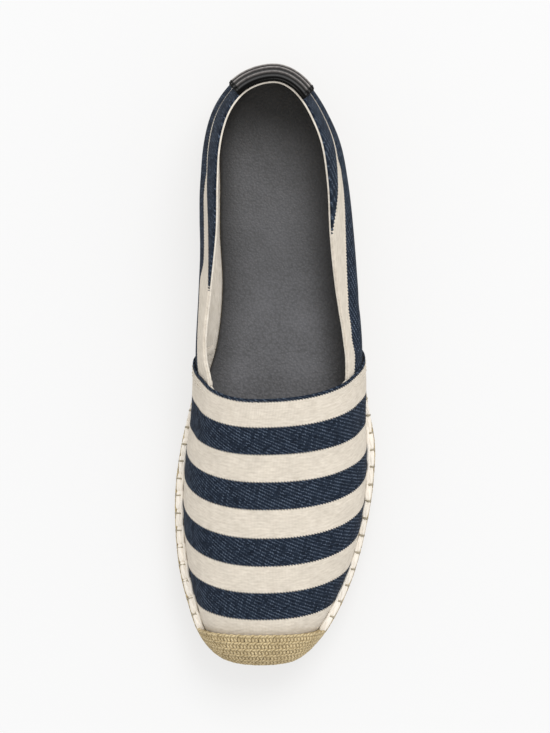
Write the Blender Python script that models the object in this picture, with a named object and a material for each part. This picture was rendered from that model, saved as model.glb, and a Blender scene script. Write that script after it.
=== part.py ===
"""Left espadrille, empty and standing on its sole.

Metres, +Z up. The toe points to -Y, and the outer (lateral) side of the foot lies at +X.
Sizes below are in millimetres. Two coordinates follow the shoe:
  t  distance from the tip of the toe, along the shoe
  p  the same place as an angle, 0 at a piece's toe end and pi at its heel end, so that
     outlines which are smooth in p are round at both ends
"""

import math

import bmesh
import bpy
import numpy as np

MM = 0.001
LENGTH = 255.0  # tip of the rope sole to the back of the heel patch
CLEARANCE = 0.3  # air between pieces that meet

# Sole
SOLE_LENGTH = 254.0
RUBBER_THICKNESS = 3.2
FOREFOOT_TOP = 18.5  # top of the rope sole above the floor at the ball
HEEL_TOP = 21.0  # the same under the heel
HEEL_RISE_FROM = 100.0
HEEL_RISE_TO = 185.0
TOE_SPRING = 5.5
TOE_SPRING_FROM = 66.0
ARCH_LIFT = 1.2
ARCH_FROM = 118.0
ARCH_TO = 184.0
BRAIDS = 3  # rows of braid that show on the side of the rope sole
GROOVE = 1.3  # how deep the grooves between the braids go
BRAID_FACETS = 4
SOLE_STATIONS = 36

# Upper
UPPER_START = 3.3  # the canvas starts this far behind the tip of the sole
UPPER_END = 254.9
WALL = 1.8  # canvas and lining together
ROUNDNESS = 2.0 / 2.2  # power of the arch over the foot: 1 is an ellipse, less is squarer
BULGE = 15.0  # height above the sole where the wall is widest
FAN_FROM = 195.0  # behind this the wall leans towards the middle of the heel
THROAT = 114.0  # vamp's back edge on the ridge of the foot
THROAT_BOW = 22.0  # how much further back that edge runs down at the sole
LAP = 1.2  # the vamp stands proud of the quarter by this much
LAP_WIDTH = 8.0
LAP_FADE = 22.0
VAMP_ROWS = 22
SIDE_COLUMNS = 8
TOP_COLUMNS = 14
QUARTER_RIBS = 18

# Insole
INSOLE_THICKNESS = 1.7
INSOLE_ROUNDING = 0.6
INSOLE_PLAY = 0.5  # between its edge and the wall
INSOLE_STATIONS = 30

# Toe cap
CAP_THICKNESS = 2.6
CAP_DEPTH = 13.8  # t of its upper edge on the ridge
CAP_BOW = 2.4
CAP_ROWS = 8
CAP_COLUMNS = 20

# Heel patch
PATCH_THICKNESS = 1.1
PATCH_RIDGE = 0.45  # height of its three soft ridges
PATCH_RIDGES = 3
PATCH_HEIGHT = 24.0
PATCH_CORNER = 3.0
PATCH_REACH = {"medial": 0.36, "lateral": 0.41}  # each side of the back seam, in p
PATCH_ROWS = 12
PATCH_COLUMNS = 7

SIDES = ("medial", "lateral")

# Outline of the rope sole: x of the inner and the outer side of the foot
SOLE_COLUMNS = ("t", "medial", "lateral")
SOLE_ROWS = (
    (0.0, -6.0, -6.0),
    (2.0, -20.4, 8.2),
    (6.0, -26.8, 14.3),
    (14.0, -32.9, 21.5),
    (27.0, -37.5, 28.9),
    (40.0, -40.8, 34.1),
    (58.0, -42.7, 38.8),
    (78.0, -42.5, 42.1),
    (95.0, -40.0, 42.7),
    (112.0, -36.0, 39.7),
    (135.0, -29.8, 36.6),
    (160.0, -25.8, 34.0),
    (185.0, -26.4, 31.6),
    (205.0, -27.0, 29.4),
    (222.0, -27.6, 26.4),
    (236.0, -25.4, 20.6),
    (247.0, -18.6, 13.8),
    (SOLE_LENGTH, -0.6, -0.6),
)

# Upper. medial, lateral: x of its widest line. tuck: how far it draws in from there to
# the sole. rise: height above the sole of the arch that the wall follows.
# collar: height of the wall above the sole
UPPER_COLUMNS = (
    "t",
    "medial",
    "lateral",
    "medial tuck",
    "lateral tuck",
    "medial rise",
    "lateral rise",
    "medial collar",
    "lateral collar",
)
UPPER_ROWS = (
    (UPPER_START, -6.0, -6.0, 0.0, 0.0, 0.0, 0.0, 29.0, 29.0),
    (5.0, -18.6, 6.5, 0.1, 0.1, 7.2, 7.2, 29.0, 29.0),
    (9.0, -25.0, 12.7, 0.2, 0.2, 12.3, 12.3, 29.0, 29.0),
    (17.0, -30.5, 19.4, 0.4, 0.4, 17.6, 17.6, 29.0, 29.0),
    (28.0, -34.0, 25.8, 0.5, 0.5, 21.6, 21.6, 29.0, 29.0),
    (43.0, -37.4, 32.3, 0.5, 0.5, 25.6, 25.6, 29.0, 29.0),
    (60.0, -39.2, 36.8, 0.5, 0.5, 29.2, 29.2, 29.0, 29.0),
    (80.0, -39.2, 39.2, 0.6, 0.5, 33.2, 33.2, 29.0, 29.0),
    (100.0, -37.4, 39.4, 1.2, 0.8, 37.2, 37.2, 29.5, 24.0),
    (118.0, -35.0, 38.7, 2.8, 1.6, 40.8, 40.8, 29.0, 24.0),
    (136.0, -34.5, 37.8, 7.6, 2.8, 46.0, 44.8, 28.0, 26.0),
    (160.0, -33.1, 36.2, 8.8, 3.6, 50.5, 42.5, 32.8, 28.2),
    (185.0, -32.4, 34.2, 7.1, 3.9, 55.0, 47.5, 39.8, 33.2),
    (205.0, -32.2, 31.7, 7.0, 3.6, 61.0, 59.0, 43.8, 40.2),
    (222.0, -30.8, 28.2, 5.6, 2.6, 66.0, 66.0, 46.0, 45.0),
    (236.0, -27.0, 22.0, 4.0, 2.6, 68.0, 68.0, 47.0, 46.8),
    (246.5, -20.0, 14.8, 2.8, 2.6, 69.0, 69.0, 47.4, 47.4),
    (UPPER_END, -0.6, -0.6, 2.0, 2.0, 69.0, 69.0, 47.5, 47.5),
)

# Ridge of the foot: its x, and how far a cross line of the cloth bows towards the heel
RIDGE_COLUMNS = ("t", "x", "bow")
RIDGE_ROWS = (
    (UPPER_START, -6.0, 0.0),
    (9.0, -6.0, 3.0),
    (20.0, -6.0, 8.4),
    (43.0, -5.5, 11.5),
    (67.0, -5.0, 12.5),
    (90.0, -6.0, 14.0),
    (114.0, -8.0, THROAT_BOW),
    (174.0, -8.0, THROAT_BOW),
    (205.0, -6.0, THROAT_BOW),
    (230.0, -3.0, THROAT_BOW),
    (UPPER_END, -0.6, THROAT_BOW),
)


def clear_scene():
    for old in list(bpy.data.objects):
        bpy.data.objects.remove(old)


def smoothstep(share):
    share = min(max(share, 0.0), 1.0)
    return share * share * (3 - 2 * share)


def angle_at(t, start, end):
    """The angle p of the place t on a piece that runs from start to end."""
    share = (t - start) / (end - start)
    return math.acos(1 - 2 * min(max(share, 0.0), 1.0))


def station(p, start, end):
    """The place t at the angle p."""
    return start + (end - start) * (1 - math.cos(p)) / 2


def smooth_columns(columns, rows, start, end):
    """One smooth function of p through each column of a table."""
    table = dict(zip(columns, np.array(rows).T))
    knots = np.array([angle_at(t, start, end) for t in table["t"]])

    def through(values):
        slopes = np.gradient(values, knots)

        def read(p):
            i = int(np.clip(np.searchsorted(knots, p) - 1, 0, len(knots) - 2))
            step = knots[i + 1] - knots[i]
            s = (p - knots[i]) / step
            from_left = values[i] * (1 + 2 * s) * (1 - s) ** 2
            from_left += slopes[i] * step * s * (1 - s) ** 2
            from_right = values[i + 1] * s * s * (3 - 2 * s)
            from_right += slopes[i + 1] * step * s * s * (s - 1)
            return from_left + from_right

        return read

    return {name: through(table[name]) for name in columns[1:]}


SOLE = smooth_columns(SOLE_COLUMNS, SOLE_ROWS, 0.0, SOLE_LENGTH)
UPPER = smooth_columns(UPPER_COLUMNS, UPPER_ROWS, UPPER_START, UPPER_END)
RIDGE = smooth_columns(RIDGE_COLUMNS, RIDGE_ROWS, UPPER_START, UPPER_END)


# Heights along the sole


def toe_lift(t):
    return TOE_SPRING * max(0.0, 1 - t / TOE_SPRING_FROM) ** 2


def floor_side(t):
    """Height of the sole's underside: flat under ball and heel, lifted at toe and waist."""
    waist = (t - ARCH_FROM) / (ARCH_TO - ARCH_FROM)
    arch = math.sin(math.pi * waist) ** 2 if 0 < waist < 1 else 0.0
    return toe_lift(t) + ARCH_LIFT * arch


def sole_top(t):
    heel = smoothstep((t - HEEL_RISE_FROM) / (HEEL_RISE_TO - HEEL_RISE_FROM))
    return toe_lift(t) + FOREFOOT_TOP + (HEEL_TOP - FOREFOOT_TOP) * heel


def upper_foot(t):
    """Height of the upper's lower edge."""
    return sole_top(t) + CLEARANCE


# Outlines seen from above


def sole_outline(side, p):
    return np.array([SOLE[side](p), station(p, 0.0, SOLE_LENGTH)])


def feather_outline(side, p):
    """Outer line where the upper meets the sole."""
    return skin(p, -math.pi / 2 if side == "medial" else math.pi / 2)[:2]


def inward(outline, side, p):
    """Unit direction in the plane from the outline to its inside."""
    if min(p, math.pi - p) < 1e-6:
        return np.array([0.0, 1.0 if p < 1.0 else -1.0])
    low = outline(side, max(p - 0.001, 0.0))
    high = outline(side, min(p + 0.001, math.pi))
    along = high - low
    across = np.array([along[1], -along[0]]) / np.linalg.norm(along)
    return across if side == "medial" else -across


def inset_line(outline, stations, distance, height):
    """{side: points} at a distance inside an outline, with a height given by t."""
    line = {}
    for side in SIDES:
        line[side] = []
        for p in np.linspace(0.0, math.pi, stations + 1):
            x, t = outline(side, p) + inward(outline, side, p) * distance
            line[side].append((x, t, height(t)))
    return line


# The upper's surface


def spine(p):
    """The point in the plane that the wall leans towards."""
    t = station(p, UPPER_START, UPPER_END)
    behind = max(0.0, t - FAN_FROM)
    return np.array([RIDGE["x"](p), t - behind**2 / (2 * (UPPER_END - FAN_FROM))])


def skin(p, a):
    """Outer face of the upper as (x, t, z). The angle a runs over the foot, from
    -90 degrees at the medial edge of the sole to 90 degrees at the lateral edge."""
    side = "medial" if a < 0 else "lateral"
    t = station(p, UPPER_START, UPPER_END)
    rise = max(UPPER[side + " rise"](p), 1e-6)
    up = rise * max(math.cos(a), 0.0) ** ROUNDNESS
    edge = np.array([UPPER[side](p), t])
    reach = spine(p) - edge
    length = max(np.linalg.norm(reach), 1e-6)
    bulge = min(BULGE, rise / 2)
    tuck = UPPER[side + " tuck"](p) * max(0.0, 1 - up / bulge) ** 2
    share = 1 - abs(math.sin(a)) ** ROUNDNESS + tuck / length
    x, y = edge + reach * share
    return np.array([x, y, upper_foot(t) + up])


def skin_normal(p, a):
    """Unit direction out of the upper's outer face."""
    step = 0.002
    p = max(p, 2 * step)
    a = min(max(a, -math.pi / 2 + 0.05), math.pi / 2 - 0.05)
    over = skin(p, a + step) - skin(p, a - step)
    if math.pi - p < 1e-6:
        along = np.array([1.0 if a < 0 else -1.0, 0.0, 0.0])
    else:
        along = skin(min(p + step, math.pi), a) - skin(p - step, a)
    normal = np.cross(over, along)
    return normal / np.linalg.norm(normal)


def offset_skin(p, a, out):
    """A point at a distance outside the upper's outer face. At the sole it stays level."""
    at_sole = abs(a) > math.pi / 2 - 1e-6
    if at_sole or p < 1e-6:
        side = "medial" if a < 0 else "lateral"
        x, t = skin(p, a)[:2]
        x, t = np.array([x, t]) - inward(feather_outline, side, p) * out
        return np.array([x, t, upper_foot(t)])
    return skin(p, a) + skin_normal(p, a) * out


def bowed(t, a):
    """Where a cross line of the cloth that crosses the ridge at t lies at the angle a."""
    bow = RIDGE["bow"](angle_at(t, UPPER_START, UPPER_END))
    return angle_at(t + bow * (a / (math.pi / 2)) ** 2, UPPER_START, UPPER_END)


def angle_over(side, p, height):
    """The angle a at which the wall has a height above the sole."""
    share = min(height / UPPER[side + " rise"](p), 1.0)
    a = math.acos(share ** (1 / ROUNDNESS))
    return -a if side == "medial" else a


def throat_corner(side):
    """The angle a where the vamp's back edge crosses the collar."""
    sign = -1 if side == "medial" else 1
    low, high = 0.3, math.pi / 2
    for _ in range(40):
        middle = (low + high) / 2
        p = bowed(THROAT, sign * middle)
        above = skin(p, sign * middle)[2] - upper_foot(station(p, UPPER_START, UPPER_END))
        if above > UPPER[side + " collar"](p):
            low = middle
        else:
            high = middle
    return sign * middle


def vamp_angles():
    """Angles a of the vamp's columns, from the medial edge to the lateral edge."""
    medial, lateral = throat_corner("medial"), throat_corner("lateral")
    rising = np.linspace(-math.pi / 2, medial, SIDE_COLUMNS + 1)
    over = np.linspace(medial, lateral, TOP_COLUMNS + 1)
    falling = np.linspace(lateral, math.pi / 2, SIDE_COLUMNS + 1)
    return np.concatenate([rising, over[1:-1], falling])


def lap(p, a):
    """How far the vamp stands proud: full over the seam, fading towards the toe."""
    edge = station(bowed(THROAT, a), UPPER_START, UPPER_END)
    forward = edge - station(p, UPPER_START, UPPER_END)
    return LAP * (1 - smoothstep((forward - LAP_WIDTH) / LAP_FADE))


# Building


def add_grid(bm, grid):
    """Faces between neighbouring rows and columns of points (x, t, z)."""
    corners = [[bm.verts.new(place(point)) for point in row] for row in grid]
    for near, far in zip(corners, corners[1:]):
        for i in range(len(near) - 1):
            bm.faces.new((near[i], near[i + 1], far[i + 1], far[i]))


def add_triangle(bm, *points):
    bm.faces.new([bm.verts.new(place(point)) for point in points])


def place(point):
    """Metres in the shoe's frame from (x, t, z) in millimetres."""
    x, t, z = point
    return (x * MM, (t - LENGTH / 2) * MM, z * MM)


def finish_piece(name, bm, material):
    """Closes the seams between the grids of one solid and makes it an object."""
    bmesh.ops.remove_doubles(bm, verts=bm.verts, dist=0.002 * MM)
    bmesh.ops.dissolve_degenerate(bm, edges=bm.edges, dist=0.002 * MM)
    bmesh.ops.triangulate(bm, faces=bm.faces)
    bmesh.ops.recalc_face_normals(bm, faces=bm.faces)
    if bm.calc_volume(signed=True) < 0:
        bmesh.ops.reverse_faces(bm, faces=bm.faces)
    mesh = bpy.data.meshes.new(name)
    bm.to_mesh(mesh)
    bm.free()
    mesh.shade_smooth()
    mesh.set_sharp_from_angle(angle=math.radians(35))
    mesh.materials.append(material)
    piece = bpy.data.objects.new(name, mesh)
    bpy.context.collection.objects.link(piece)
    return piece


def material_of(name, colour, roughness):
    material = bpy.data.materials.new(name)
    material.use_nodes = True
    shader = material.node_tree.nodes["Principled BSDF"]
    shader.inputs["Base Color"].default_value = (*colour, 1.0)
    shader.inputs["Roughness"].default_value = roughness
    shader.inputs["Metallic"].default_value = 0.0
    return material


def slab(name, rings, material):
    """A solid from closed lines stacked from its underside to its top."""
    bm = bmesh.new()
    loops = [ring["medial"] + ring["lateral"][::-1] for ring in rings]
    add_grid(bm, loops)
    for cap in (rings[0], rings[-1]):
        add_grid(bm, [cap["medial"], cap["lateral"]])
    return finish_piece(name, bm, material)


def make_outsole():
    def line(distance, above):
        return inset_line(sole_outline, SOLE_STATIONS, distance, lambda t: floor_side(t) + above)

    rings = [line(2.0, 0.0), line(1.0, 0.9), line(0.9, RUBBER_THICKNESS)]
    rubber = material_of("vulcanised_rubber", (0.42, 0.33, 0.22), 0.7)
    return slab("outsole", rings, rubber)


def make_midsole():
    """Rope sole whose side shows rows of braid with grooves between them."""
    rings = []
    for row in range(BRAIDS):
        for facet in range(BRAID_FACETS + 1):
            if row and not facet:
                continue
            turn = math.pi * facet / BRAID_FACETS
            share = (row + (1 - math.cos(turn)) / 2) / BRAIDS

            def height(t, share=share):
                low = floor_side(t) + RUBBER_THICKNESS + CLEARANCE
                return low + (sole_top(t) - low) * share

            depth = GROOVE * (1 - math.sin(turn))
            rings.append(inset_line(sole_outline, SOLE_STATIONS, depth, height))
    return slab("midsole", rings, material_of("jute_rope", (0.55, 0.44, 0.27), 0.9))


def make_insole():
    def line(distance, above):
        inside = WALL + INSOLE_PLAY + distance
        return inset_line(feather_outline, INSOLE_STATIONS, inside, lambda t: upper_foot(t) + above)

    top = INSOLE_THICKNESS
    rings = [line(0.0, 0.0), line(0.0, top - INSOLE_ROUNDING), line(INSOLE_ROUNDING, top)]
    return slab("insole", rings, material_of("black_leather", (0.03, 0.03, 0.032), 0.5))


def make_upper():
    """Vamp over the forefoot and quarter round the heel, as one wall with a stepped lap."""
    angles = vamp_angles()
    middles = np.linspace(0.0, angle_at(THROAT, UPPER_START, UPPER_END), VAMP_ROWS + 1)
    bm = bmesh.new()

    def vamp(out, lapped):
        grid = []
        for middle in middles:
            t = station(middle, UPPER_START, UPPER_END)
            row = []
            for a in angles:
                p = bowed(t, a)
                row.append(offset_skin(p, a, out + (lap(p, a) if lapped else 0.0)))
            grid.append(row)
        return grid

    def quarter(side, out):
        """Ribs from the vamp's edge to the back seam, each from the sole to the collar."""
        seam_angles = angles[: SIDE_COLUMNS + 1]
        if side == "lateral":
            seam_angles = angles[: -SIDE_COLUMNS - 2 : -1]
        seams = [bowed(THROAT, a) for a in seam_angles]
        shares = []
        for p, a in zip(seams, seam_angles):
            height = UPPER[side + " rise"](p) * max(math.cos(a), 0.0) ** ROUNDNESS
            shares.append(height / UPPER[side + " collar"](p))
        grid = []
        for rib in range(QUARTER_RIBS + 1):
            back = rib / QUARTER_RIBS
            row = []
            for column, (seam, share) in enumerate(zip(seams, shares)):
                p = seam + (math.pi - seam) * back
                share += (column / SIDE_COLUMNS - share) * back
                a = angle_over(side, p, share * UPPER[side + " collar"](p))
                row.append(offset_skin(p, a, out))
            grid.append(row)
        return grid

    vamp_out, vamp_in = vamp(0.0, True), vamp(-WALL, False)
    add_grid(bm, vamp_out)
    add_grid(bm, vamp_in)
    throat = slice(SIDE_COLUMNS, len(angles) - SIDE_COLUMNS)
    add_grid(bm, [vamp_out[-1][throat], vamp_in[-1][throat]])
    for column in (0, -1):
        add_grid(bm, [[row[column] for row in vamp_out], [row[column] for row in vamp_in]])
    for side in SIDES:
        outer, inner = quarter(side, 0.0), quarter(side, -WALL)
        add_grid(bm, outer)
        add_grid(bm, inner)
        for end in (0, -1):
            add_grid(bm, [[rib[end] for rib in outer], [rib[end] for rib in inner]])
        edge = vamp_out[-1][: SIDE_COLUMNS + 1]
        if side == "lateral":
            edge = vamp_out[-1][: -SIDE_COLUMNS - 2 : -1]
        add_grid(bm, [edge, outer[0]])
        for end in (0, -1):
            add_triangle(bm, edge[end], outer[0][end], inner[0][end])
    return finish_piece("upper", bm, material_of("striped_canvas", (0.5, 0.47, 0.42), 0.85))


def make_toe_cap():
    """Crocheted bumper that follows the canvas over the toe."""
    bm = bmesh.new()
    angles = np.linspace(-math.pi / 2, math.pi / 2, CAP_COLUMNS + 1)

    def face(out):
        grid = []
        for row in range(CAP_ROWS + 1):
            line = []
            for a in angles:
                edge = CAP_DEPTH + CAP_BOW * (a / (math.pi / 2)) ** 2
                p = angle_at(edge, UPPER_START, UPPER_END) * row / CAP_ROWS
                line.append(offset_skin(p, a, out))
            grid.append(line)
        return grid

    outer, inner = face(CLEARANCE + CAP_THICKNESS), face(CLEARANCE)
    add_grid(bm, outer)
    add_grid(bm, inner)
    add_grid(bm, [outer[-1], inner[-1]])
    for column in (0, -1):
        add_grid(bm, [[row[column] for row in outer], [row[column] for row in inner]])
    return finish_piece("toe_cap", bm, material_of("crocheted_jute", (0.6, 0.5, 0.33), 0.9))


def make_heel_patch():
    """Leather tab over the back seam, level with the collar, with soft level ridges."""
    bm = bmesh.new()
    columns = range(-PATCH_COLUMNS, PATCH_COLUMNS + 1)

    def face(out, ridge):
        grid = []
        for row in range(PATCH_ROWS + 1):
            share = row / PATCH_ROWS
            thick = out + ridge * math.sin(math.pi * PATCH_RIDGES * share) ** 2
            line = []
            for column in columns:
                side = "medial" if column < 0 else "lateral"
                across = abs(column) / PATCH_COLUMNS
                p = math.pi - PATCH_REACH[side] * across
                top = UPPER[side + " collar"](p)
                low = top - PATCH_HEIGHT + PATCH_CORNER * across**6
                a = angle_over(side, p, low + (top - low) * share)
                line.append(offset_skin(p, a, thick))
            grid.append(line)
        return grid

    outer = face(CLEARANCE + PATCH_THICKNESS, PATCH_RIDGE)
    inner = face(CLEARANCE, 0.0)
    add_grid(bm, outer)
    add_grid(bm, inner)
    for end in (0, -1):
        add_grid(bm, [outer[end], inner[end]])
        add_grid(bm, [[row[end] for row in outer], [row[end] for row in inner]])
    return finish_piece("heel_patch", bm, material_of("black_patch", (0.02, 0.02, 0.022), 0.3))


def main():
    clear_scene()
    make_outsole()
    make_midsole()
    make_insole()
    make_upper()
    make_toe_cap()
    make_heel_patch()


main()
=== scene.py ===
"""Left espadrille: canvas, rope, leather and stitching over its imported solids.

Metres, +Z up. The toe points to -Y, and the outer (lateral) side of the foot lies at +X.
Sizes below are in millimetres. Three coordinates follow the shoe:
  t  distance from the tip of the toe, along the shoe
  p  the same place as an angle, 0 at a piece's toe end and pi at its heel end, so that
     outlines which are smooth in p are round at both ends
  a  angle over the foot, -90 degrees at the inner edge of the sole, 90 at the outer edge
"""

import math
from functools import partial

import bmesh
import bpy
import numpy as np
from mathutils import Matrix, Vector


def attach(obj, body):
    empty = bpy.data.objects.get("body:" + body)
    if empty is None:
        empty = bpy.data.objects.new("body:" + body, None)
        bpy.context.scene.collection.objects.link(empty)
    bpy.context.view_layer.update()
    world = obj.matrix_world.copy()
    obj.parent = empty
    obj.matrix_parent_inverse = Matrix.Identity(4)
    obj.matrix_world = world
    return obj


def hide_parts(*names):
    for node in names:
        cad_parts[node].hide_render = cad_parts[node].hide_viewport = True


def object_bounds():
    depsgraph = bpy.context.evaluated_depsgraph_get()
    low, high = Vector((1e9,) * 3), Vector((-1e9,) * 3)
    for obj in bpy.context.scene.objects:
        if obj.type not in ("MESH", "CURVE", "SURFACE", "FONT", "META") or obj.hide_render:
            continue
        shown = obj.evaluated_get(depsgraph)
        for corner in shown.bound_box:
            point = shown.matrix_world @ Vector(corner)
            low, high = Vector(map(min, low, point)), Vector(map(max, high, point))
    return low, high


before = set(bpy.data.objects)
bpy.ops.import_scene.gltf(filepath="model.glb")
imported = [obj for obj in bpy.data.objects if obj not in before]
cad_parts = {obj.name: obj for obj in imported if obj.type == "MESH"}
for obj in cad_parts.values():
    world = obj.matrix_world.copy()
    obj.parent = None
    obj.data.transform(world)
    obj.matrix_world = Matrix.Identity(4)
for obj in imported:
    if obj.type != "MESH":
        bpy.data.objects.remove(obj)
cad_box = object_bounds()

MM = 0.001
HALF_TURN = math.pi / 2
UP = (0.0, 0.0, 1.0)
LENGTH = 255.0
CLEARANCE = 0.3
SIDES = {"medial": -1, "lateral": 1}  # the sign of the angle a on each side

# Sole
SOLE_LENGTH = 254.0
FOREFOOT_TOP = 18.5
HEEL_TOP = 21.0
HEEL_RISE_FROM = 100.0
HEEL_RISE_TO = 185.0
TOE_SPRING = 5.5
TOE_SPRING_FROM = 66.0
ARCH_LIFT = 1.2
ARCH_FROM = 118.0
ARCH_TO = 184.0
RUBBER_THICKNESS = 3.2
# The rubber's edge, from its underside up: how far it is inset, and its height
RUBBER_EDGE = ((2.0, 0.0), (1.35, 0.25), (1.0, 0.9), (0.9, 1.7), (0.9, RUBBER_THICKNESS))
TREAD_DEPTH = 0.8
TREAD_PITCH = 4.6
TREAD_SWING = 2.2  # how far its ribs wave
TREAD_WAVE = 17.0  # the width of one wave
TREAD_MARGIN = 3.0  # plain rubber round the ribs
TREAD_WAIST = (106.0, 176.0)  # where its ribs fade out, and where they come back
ROPE_CORE_INSET = 2.2
ROPE_CORE_DROP = 0.5
BRAIDS = 3  # rows of braid, one above the other
STRAND_RADIUS = 1.25
BRAID_PERIOD = 13.0  # length in which a strand goes up and down once
BRAID_DEPTH = 0.75  # how far a strand goes in and out
PLAIT_STRANDS = 3

# Upper
UPPER_START = 3.3
UPPER_END = 254.9
WALL = 1.8  # canvas and lining together
ROUNDNESS = 2.0 / 2.2
BULGE = 15.0  # height up to which the wall draws in towards the sole
FAN_FROM = 195.0  # from here back the cross sections fan out round the heel
THROAT = 114.0  # where the vamp's back edge crosses the ridge
THROAT_BOW = 22.0
LAP = 1.2  # how far the vamp stands proud of the quarter
LAP_WIDTH = 8.0
LAP_FADE = 22.0
CANVAS = 0.85  # thickness of the striped canvas
LINING = 0.9
SEAM_ALLOWANCE = 8.0  # how far the quarter runs on under the vamp
LAP_SEAMS = (1.9, 4.3)  # rows of stitches, this far from the vamp's back edge
LAP_STITCH = 2.8
SEAM_RADIUS = 0.27  # thread of the top-stitches
SEAM_ARCH = 0.42  # how far a top-stitch rises over its ends, which are sunk
SEAM_SUNK = 0.24
LINING_JOINT = 0.6  # from the vamp's back edge forward to where the linings meet
TAPE_WIDTH = 3.0

# Insole
INSOLE_THICKNESS = 1.7
INSOLE_PLAY = 0.15
INSOLE_ROUNDING = 1.1
HEEL_CUP = 0.35

# Toe cap
CAP_THICKNESS = 2.6
CAP_BACKING = 1.3
CAP_DEPTH = 13.8
CAP_BOW = 2.4
CROCHET_ROW = 3.3
CROCHET_STITCH = 3.0
CROCHET_YARN = 0.82

# Heel patch
PATCH_THICKNESS = 1.1
WELTS = 3
WELT_HEIGHT = 0.9
WELT_SHIFT = 0.02  # how low the welts sit, as a share of the patch's rise
PATCH_HEIGHT = 24.0
FOLD_DROP = 0.2  # how far below the collar's edge it starts to fold over it
PATCH_RISE = PATCH_HEIGHT - FOLD_DROP
PATCH_FOLD = math.radians(118.0)
PATCH_FOLD_RADIUS = 1.0
PATCH_HALF = 20.0  # half its width on the leather
PATCH_CORNER = 3.0
PATCH_REACH = {"medial": 0.36, "lateral": 0.41}
PATCH_STITCH = 2.6

# Edge stitch
STITCH_LENGTH = 7.5
STITCH_RADIUS = 1.15
HEM_RADIUS = 0.6
LEG_RADIUS = 0.42
LEDGE = 3.2  # width of the rim outside the canvas where the cords have their usual size

# One leg of the edge stitch, from the canvas over the cords and down the side of the
# sole: x along the sole, y from its rim towards the foot, z up from its top
LEG = (
    (0.0, 3.0, 1.2),
    (0.0, 2.5, 2.0),
    (0.0, 1.8, 2.25),
    (0.0, 1.1, 2.05),
    (0.05, 0.6, 1.2),
    (0.1, 0.5, 0.0),
    (0.15, 0.45, -1.6),
    (0.2, 0.5, -3.4),
    (0.2, 1.2, -4.6),
)

# Cloth and yarn. The real threads, wales and flecks are about half as wide, which is too
# fine to show, so they are drawn coarser
THREAD = 0.62
WALE = 1.35
FLECK = 1.15
TWILL_SLOPE = math.radians(27.0)
TOOTH = 1.3  # length of the steps along a stripe's edge
NAVY = ("#141A24", "#222B38")
THREAD_TWIST = (2, 1.6)  # plies of a sewing thread, and the length of one turn
STRIPE = 12.0
VAMP_STRIPES = (  # ridge place t, place on the cloth. Navy runs from 0 to 12, 24 to 36 ...
    (3.3, -18.0),
    (20.5, 0.0),
    (32.0, 12.0),
    (43.2, 24.0),
    (55.2, 36.0),
    (67.2, 48.0),
    (79.0, 60.0),
    (90.5, 72.0),
    (102.4, 84.0),
    (112.9, 96.0),
    (THROAT, 97.0),
)
QUARTER_STRIPES = (  # height above the sole, place on the cloth
    (0.0, -8.0),
    (8.0, 0.0),
    (20.7, 12.0),
    (33.2, 24.0),
    (49.4, 35.9),
)

# Outline of the rope sole: x of the inner and the outer side of the foot
SOLE_COLUMNS = ("t", "medial", "lateral")
SOLE_ROWS = (
    (0.0, -6.0, -6.0),
    (2.0, -20.4, 8.2),
    (6.0, -26.8, 14.3),
    (14.0, -32.9, 21.5),
    (27.0, -37.5, 28.9),
    (40.0, -40.8, 34.1),
    (58.0, -42.7, 38.8),
    (78.0, -42.5, 42.1),
    (95.0, -40.0, 42.7),
    (112.0, -36.0, 39.7),
    (135.0, -29.8, 36.6),
    (160.0, -25.8, 34.0),
    (185.0, -26.4, 31.6),
    (205.0, -27.0, 29.4),
    (222.0, -27.6, 26.4),
    (236.0, -25.4, 20.6),
    (247.0, -18.6, 13.8),
    (SOLE_LENGTH, -0.6, -0.6),
)

# Upper. medial, lateral: x of its widest line. tuck: how far it draws in from there to
# the sole. rise: height above the sole of the arch that the wall follows.
# collar: height of the wall above the sole
UPPER_COLUMNS = (
    "t",
    "medial",
    "lateral",
    "medial tuck",
    "lateral tuck",
    "medial rise",
    "lateral rise",
    "medial collar",
    "lateral collar",
)
UPPER_ROWS = (
    (UPPER_START, -6.0, -6.0, 0.0, 0.0, 0.0, 0.0, 29.0, 29.0),
    (5.0, -18.6, 6.5, 0.1, 0.1, 7.2, 7.2, 29.0, 29.0),
    (9.0, -25.0, 12.7, 0.2, 0.2, 12.3, 12.3, 29.0, 29.0),
    (17.0, -30.5, 19.4, 0.4, 0.4, 17.6, 17.6, 29.0, 29.0),
    (28.0, -34.0, 25.8, 0.5, 0.5, 21.6, 21.6, 29.0, 29.0),
    (43.0, -37.4, 32.3, 0.5, 0.5, 25.6, 25.6, 29.0, 29.0),
    (60.0, -39.2, 36.8, 0.5, 0.5, 29.2, 29.2, 29.0, 29.0),
    (80.0, -39.2, 39.2, 0.6, 0.5, 33.2, 33.2, 29.0, 29.0),
    (100.0, -37.4, 39.4, 1.2, 0.8, 37.2, 37.2, 29.5, 24.0),
    (118.0, -35.0, 38.7, 2.8, 1.6, 40.8, 40.8, 29.0, 24.0),
    (136.0, -34.5, 37.8, 7.6, 2.8, 46.0, 44.8, 28.0, 26.0),
    (160.0, -33.1, 36.2, 8.8, 3.6, 50.5, 42.5, 32.8, 28.2),
    (185.0, -32.4, 34.2, 7.1, 3.9, 55.0, 47.5, 39.8, 33.2),
    (205.0, -32.2, 31.7, 7.0, 3.6, 61.0, 59.0, 43.8, 40.2),
    (222.0, -30.8, 28.2, 5.6, 2.6, 66.0, 66.0, 46.0, 45.0),
    (236.0, -27.0, 22.0, 4.0, 2.6, 68.0, 68.0, 47.0, 46.8),
    (246.5, -20.0, 14.8, 2.8, 2.6, 69.0, 69.0, 47.4, 47.4),
    (UPPER_END, -0.6, -0.6, 2.0, 2.0, 69.0, 69.0, 47.5, 47.5),
)

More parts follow.
